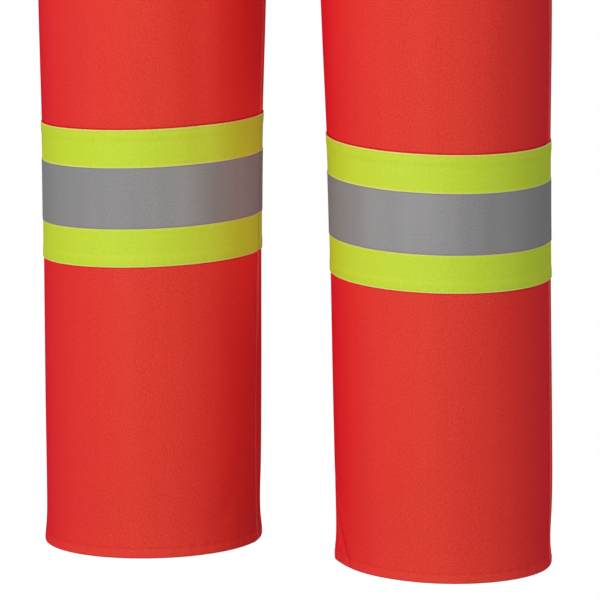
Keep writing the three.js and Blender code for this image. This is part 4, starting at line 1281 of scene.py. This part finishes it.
def surround_shader(tree, seen, lit):
    """Plain white to the camera, and a softer white as light."""
    to_camera = add_node(tree, "ShaderNodeLightPath").outputs["Is Camera Ray"]
    return add_node(tree, "ShaderNodeMixShader", {0: to_camera, 1: lit, 2: seen}).outputs[0]


world = bpy.data.worlds.new("surround")
bpy.context.scene.world = world
world.use_nodes = True
sky = world.node_tree
sky.nodes.clear()
looking = add_node(sky, "ShaderNodeTexCoord").outputs["Generated"]
towards = direction(BRIGHT_SIDE, 0).tolist()
sideways = add_node(sky, "ShaderNodeVectorMath", {0: looking, 1: towards}, operation="DOT_PRODUCT")
dimmed = add_node(sky, "ShaderNodeMapRange",
                  {0: sideways.outputs["Value"], 1: -1.0, 2: 1.0, 3: SURROUND_DIM, 4: SURROUND_BRIGHT})
bright, soft = (
    add_node(sky, "ShaderNodeBackground", {"Color": (1, 1, 1, 1), "Strength": strength}).outputs[0]
    for strength in (1.0, dimmed.outputs[0]))
add_node(sky, "ShaderNodeOutputWorld", {"Surface": surround_shader(sky, bright, soft)})

floor_mesh = bpy.data.meshes.new("floor")
corners = [(x * FLOOR_HALF, y * FLOOR_HALF, -SHOULDER_TO_HEM - FLOOR_DROP)
           for x, y in ((-1, -1), (1, -1), (1, 1), (-1, 1))]
floor_mesh.from_pydata(corners, [], [(0, 1, 2, 3)])
add_object("floor", floor_mesh)
white_floor = bpy.data.materials.new("white floor")
white_floor.use_nodes = True
paper = white_floor.node_tree
paper.nodes.clear()
white = add_node(paper, "ShaderNodeEmission", {"Color": (1, 1, 1, 1), "Strength": 1.0}).outputs[0]
matt = add_node(paper, "ShaderNodeBsdfDiffuse", {"Color": (0.5, 0.5, 0.5, 1)}).outputs[0]
clear = add_node(paper, "ShaderNodeBsdfTransparent").outputs[0]
under = add_node(paper, "ShaderNodeNewGeometry").outputs["Backfacing"]
from_above = surround_shader(paper, white, matt)
laid = add_node(paper, "ShaderNodeMixShader", {0: under, 1: from_above, 2: clear}).outputs[0]
add_node(paper, "ShaderNodeOutputMaterial", {"Surface": laid})
floor_mesh.materials.append(white_floor)


def aimed(thing, place, target, roll=0.0):
    """Stands a lamp or a camera at a place, looking at its target."""
    back = unit(place - target)
    right = unit(np.cross([0, 0, 1], back))
    up = np.cross(back, right)
    c, s = np.cos(np.radians(roll)), np.sin(np.radians(roll))
    axes = np.stack([right * c + up * s, up * c - right * s, back, place], axis=1)
    thing.matrix_world = Matrix([*axes.tolist(), [0, 0, 0, 1]])


for name, azimuth, elevation, distance, size, power in LAMPS:
    light = bpy.data.lights.new(name, "AREA")
    light.size, light.energy = size, power
    aimed(add_object(name, light), LOOK_AT + direction(azimuth, elevation) * distance, LOOK_AT)

glow = bpy.data.lights.new("glow", "AREA")
glow.shape = "RECTANGLE"
glow.size, glow.size_y = GLOW_SIZE
glow.energy, glow.color = GLOW_POWER, GLOW_COLOUR
between = add_object("glow", glow)
aimed(between, GLOW_PLACE, GLOW_PLACE + GLOW_AIM)
between.visible_camera = False

camera = bpy.data.cameras.new("camera")
camera.lens = LENS
camera.sensor_width = 36.0
camera.clip_end = 100.0
held = add_object("camera", camera)
rise = CAMERA_HEIGHT - LOOK_AT[2] - SHOULDER_TO_HEM
reach = np.sqrt(CAMERA_DISTANCE**2 - rise**2)
aimed(held, LOOK_AT + direction(CAMERA_AZIMUTH, 0) * reach + np.array([0, 0, rise]), LOOK_AT, CAMERA_ROLL)
bpy.context.scene.camera = held
bpy.context.scene.view_settings.view_transform = "Standard"
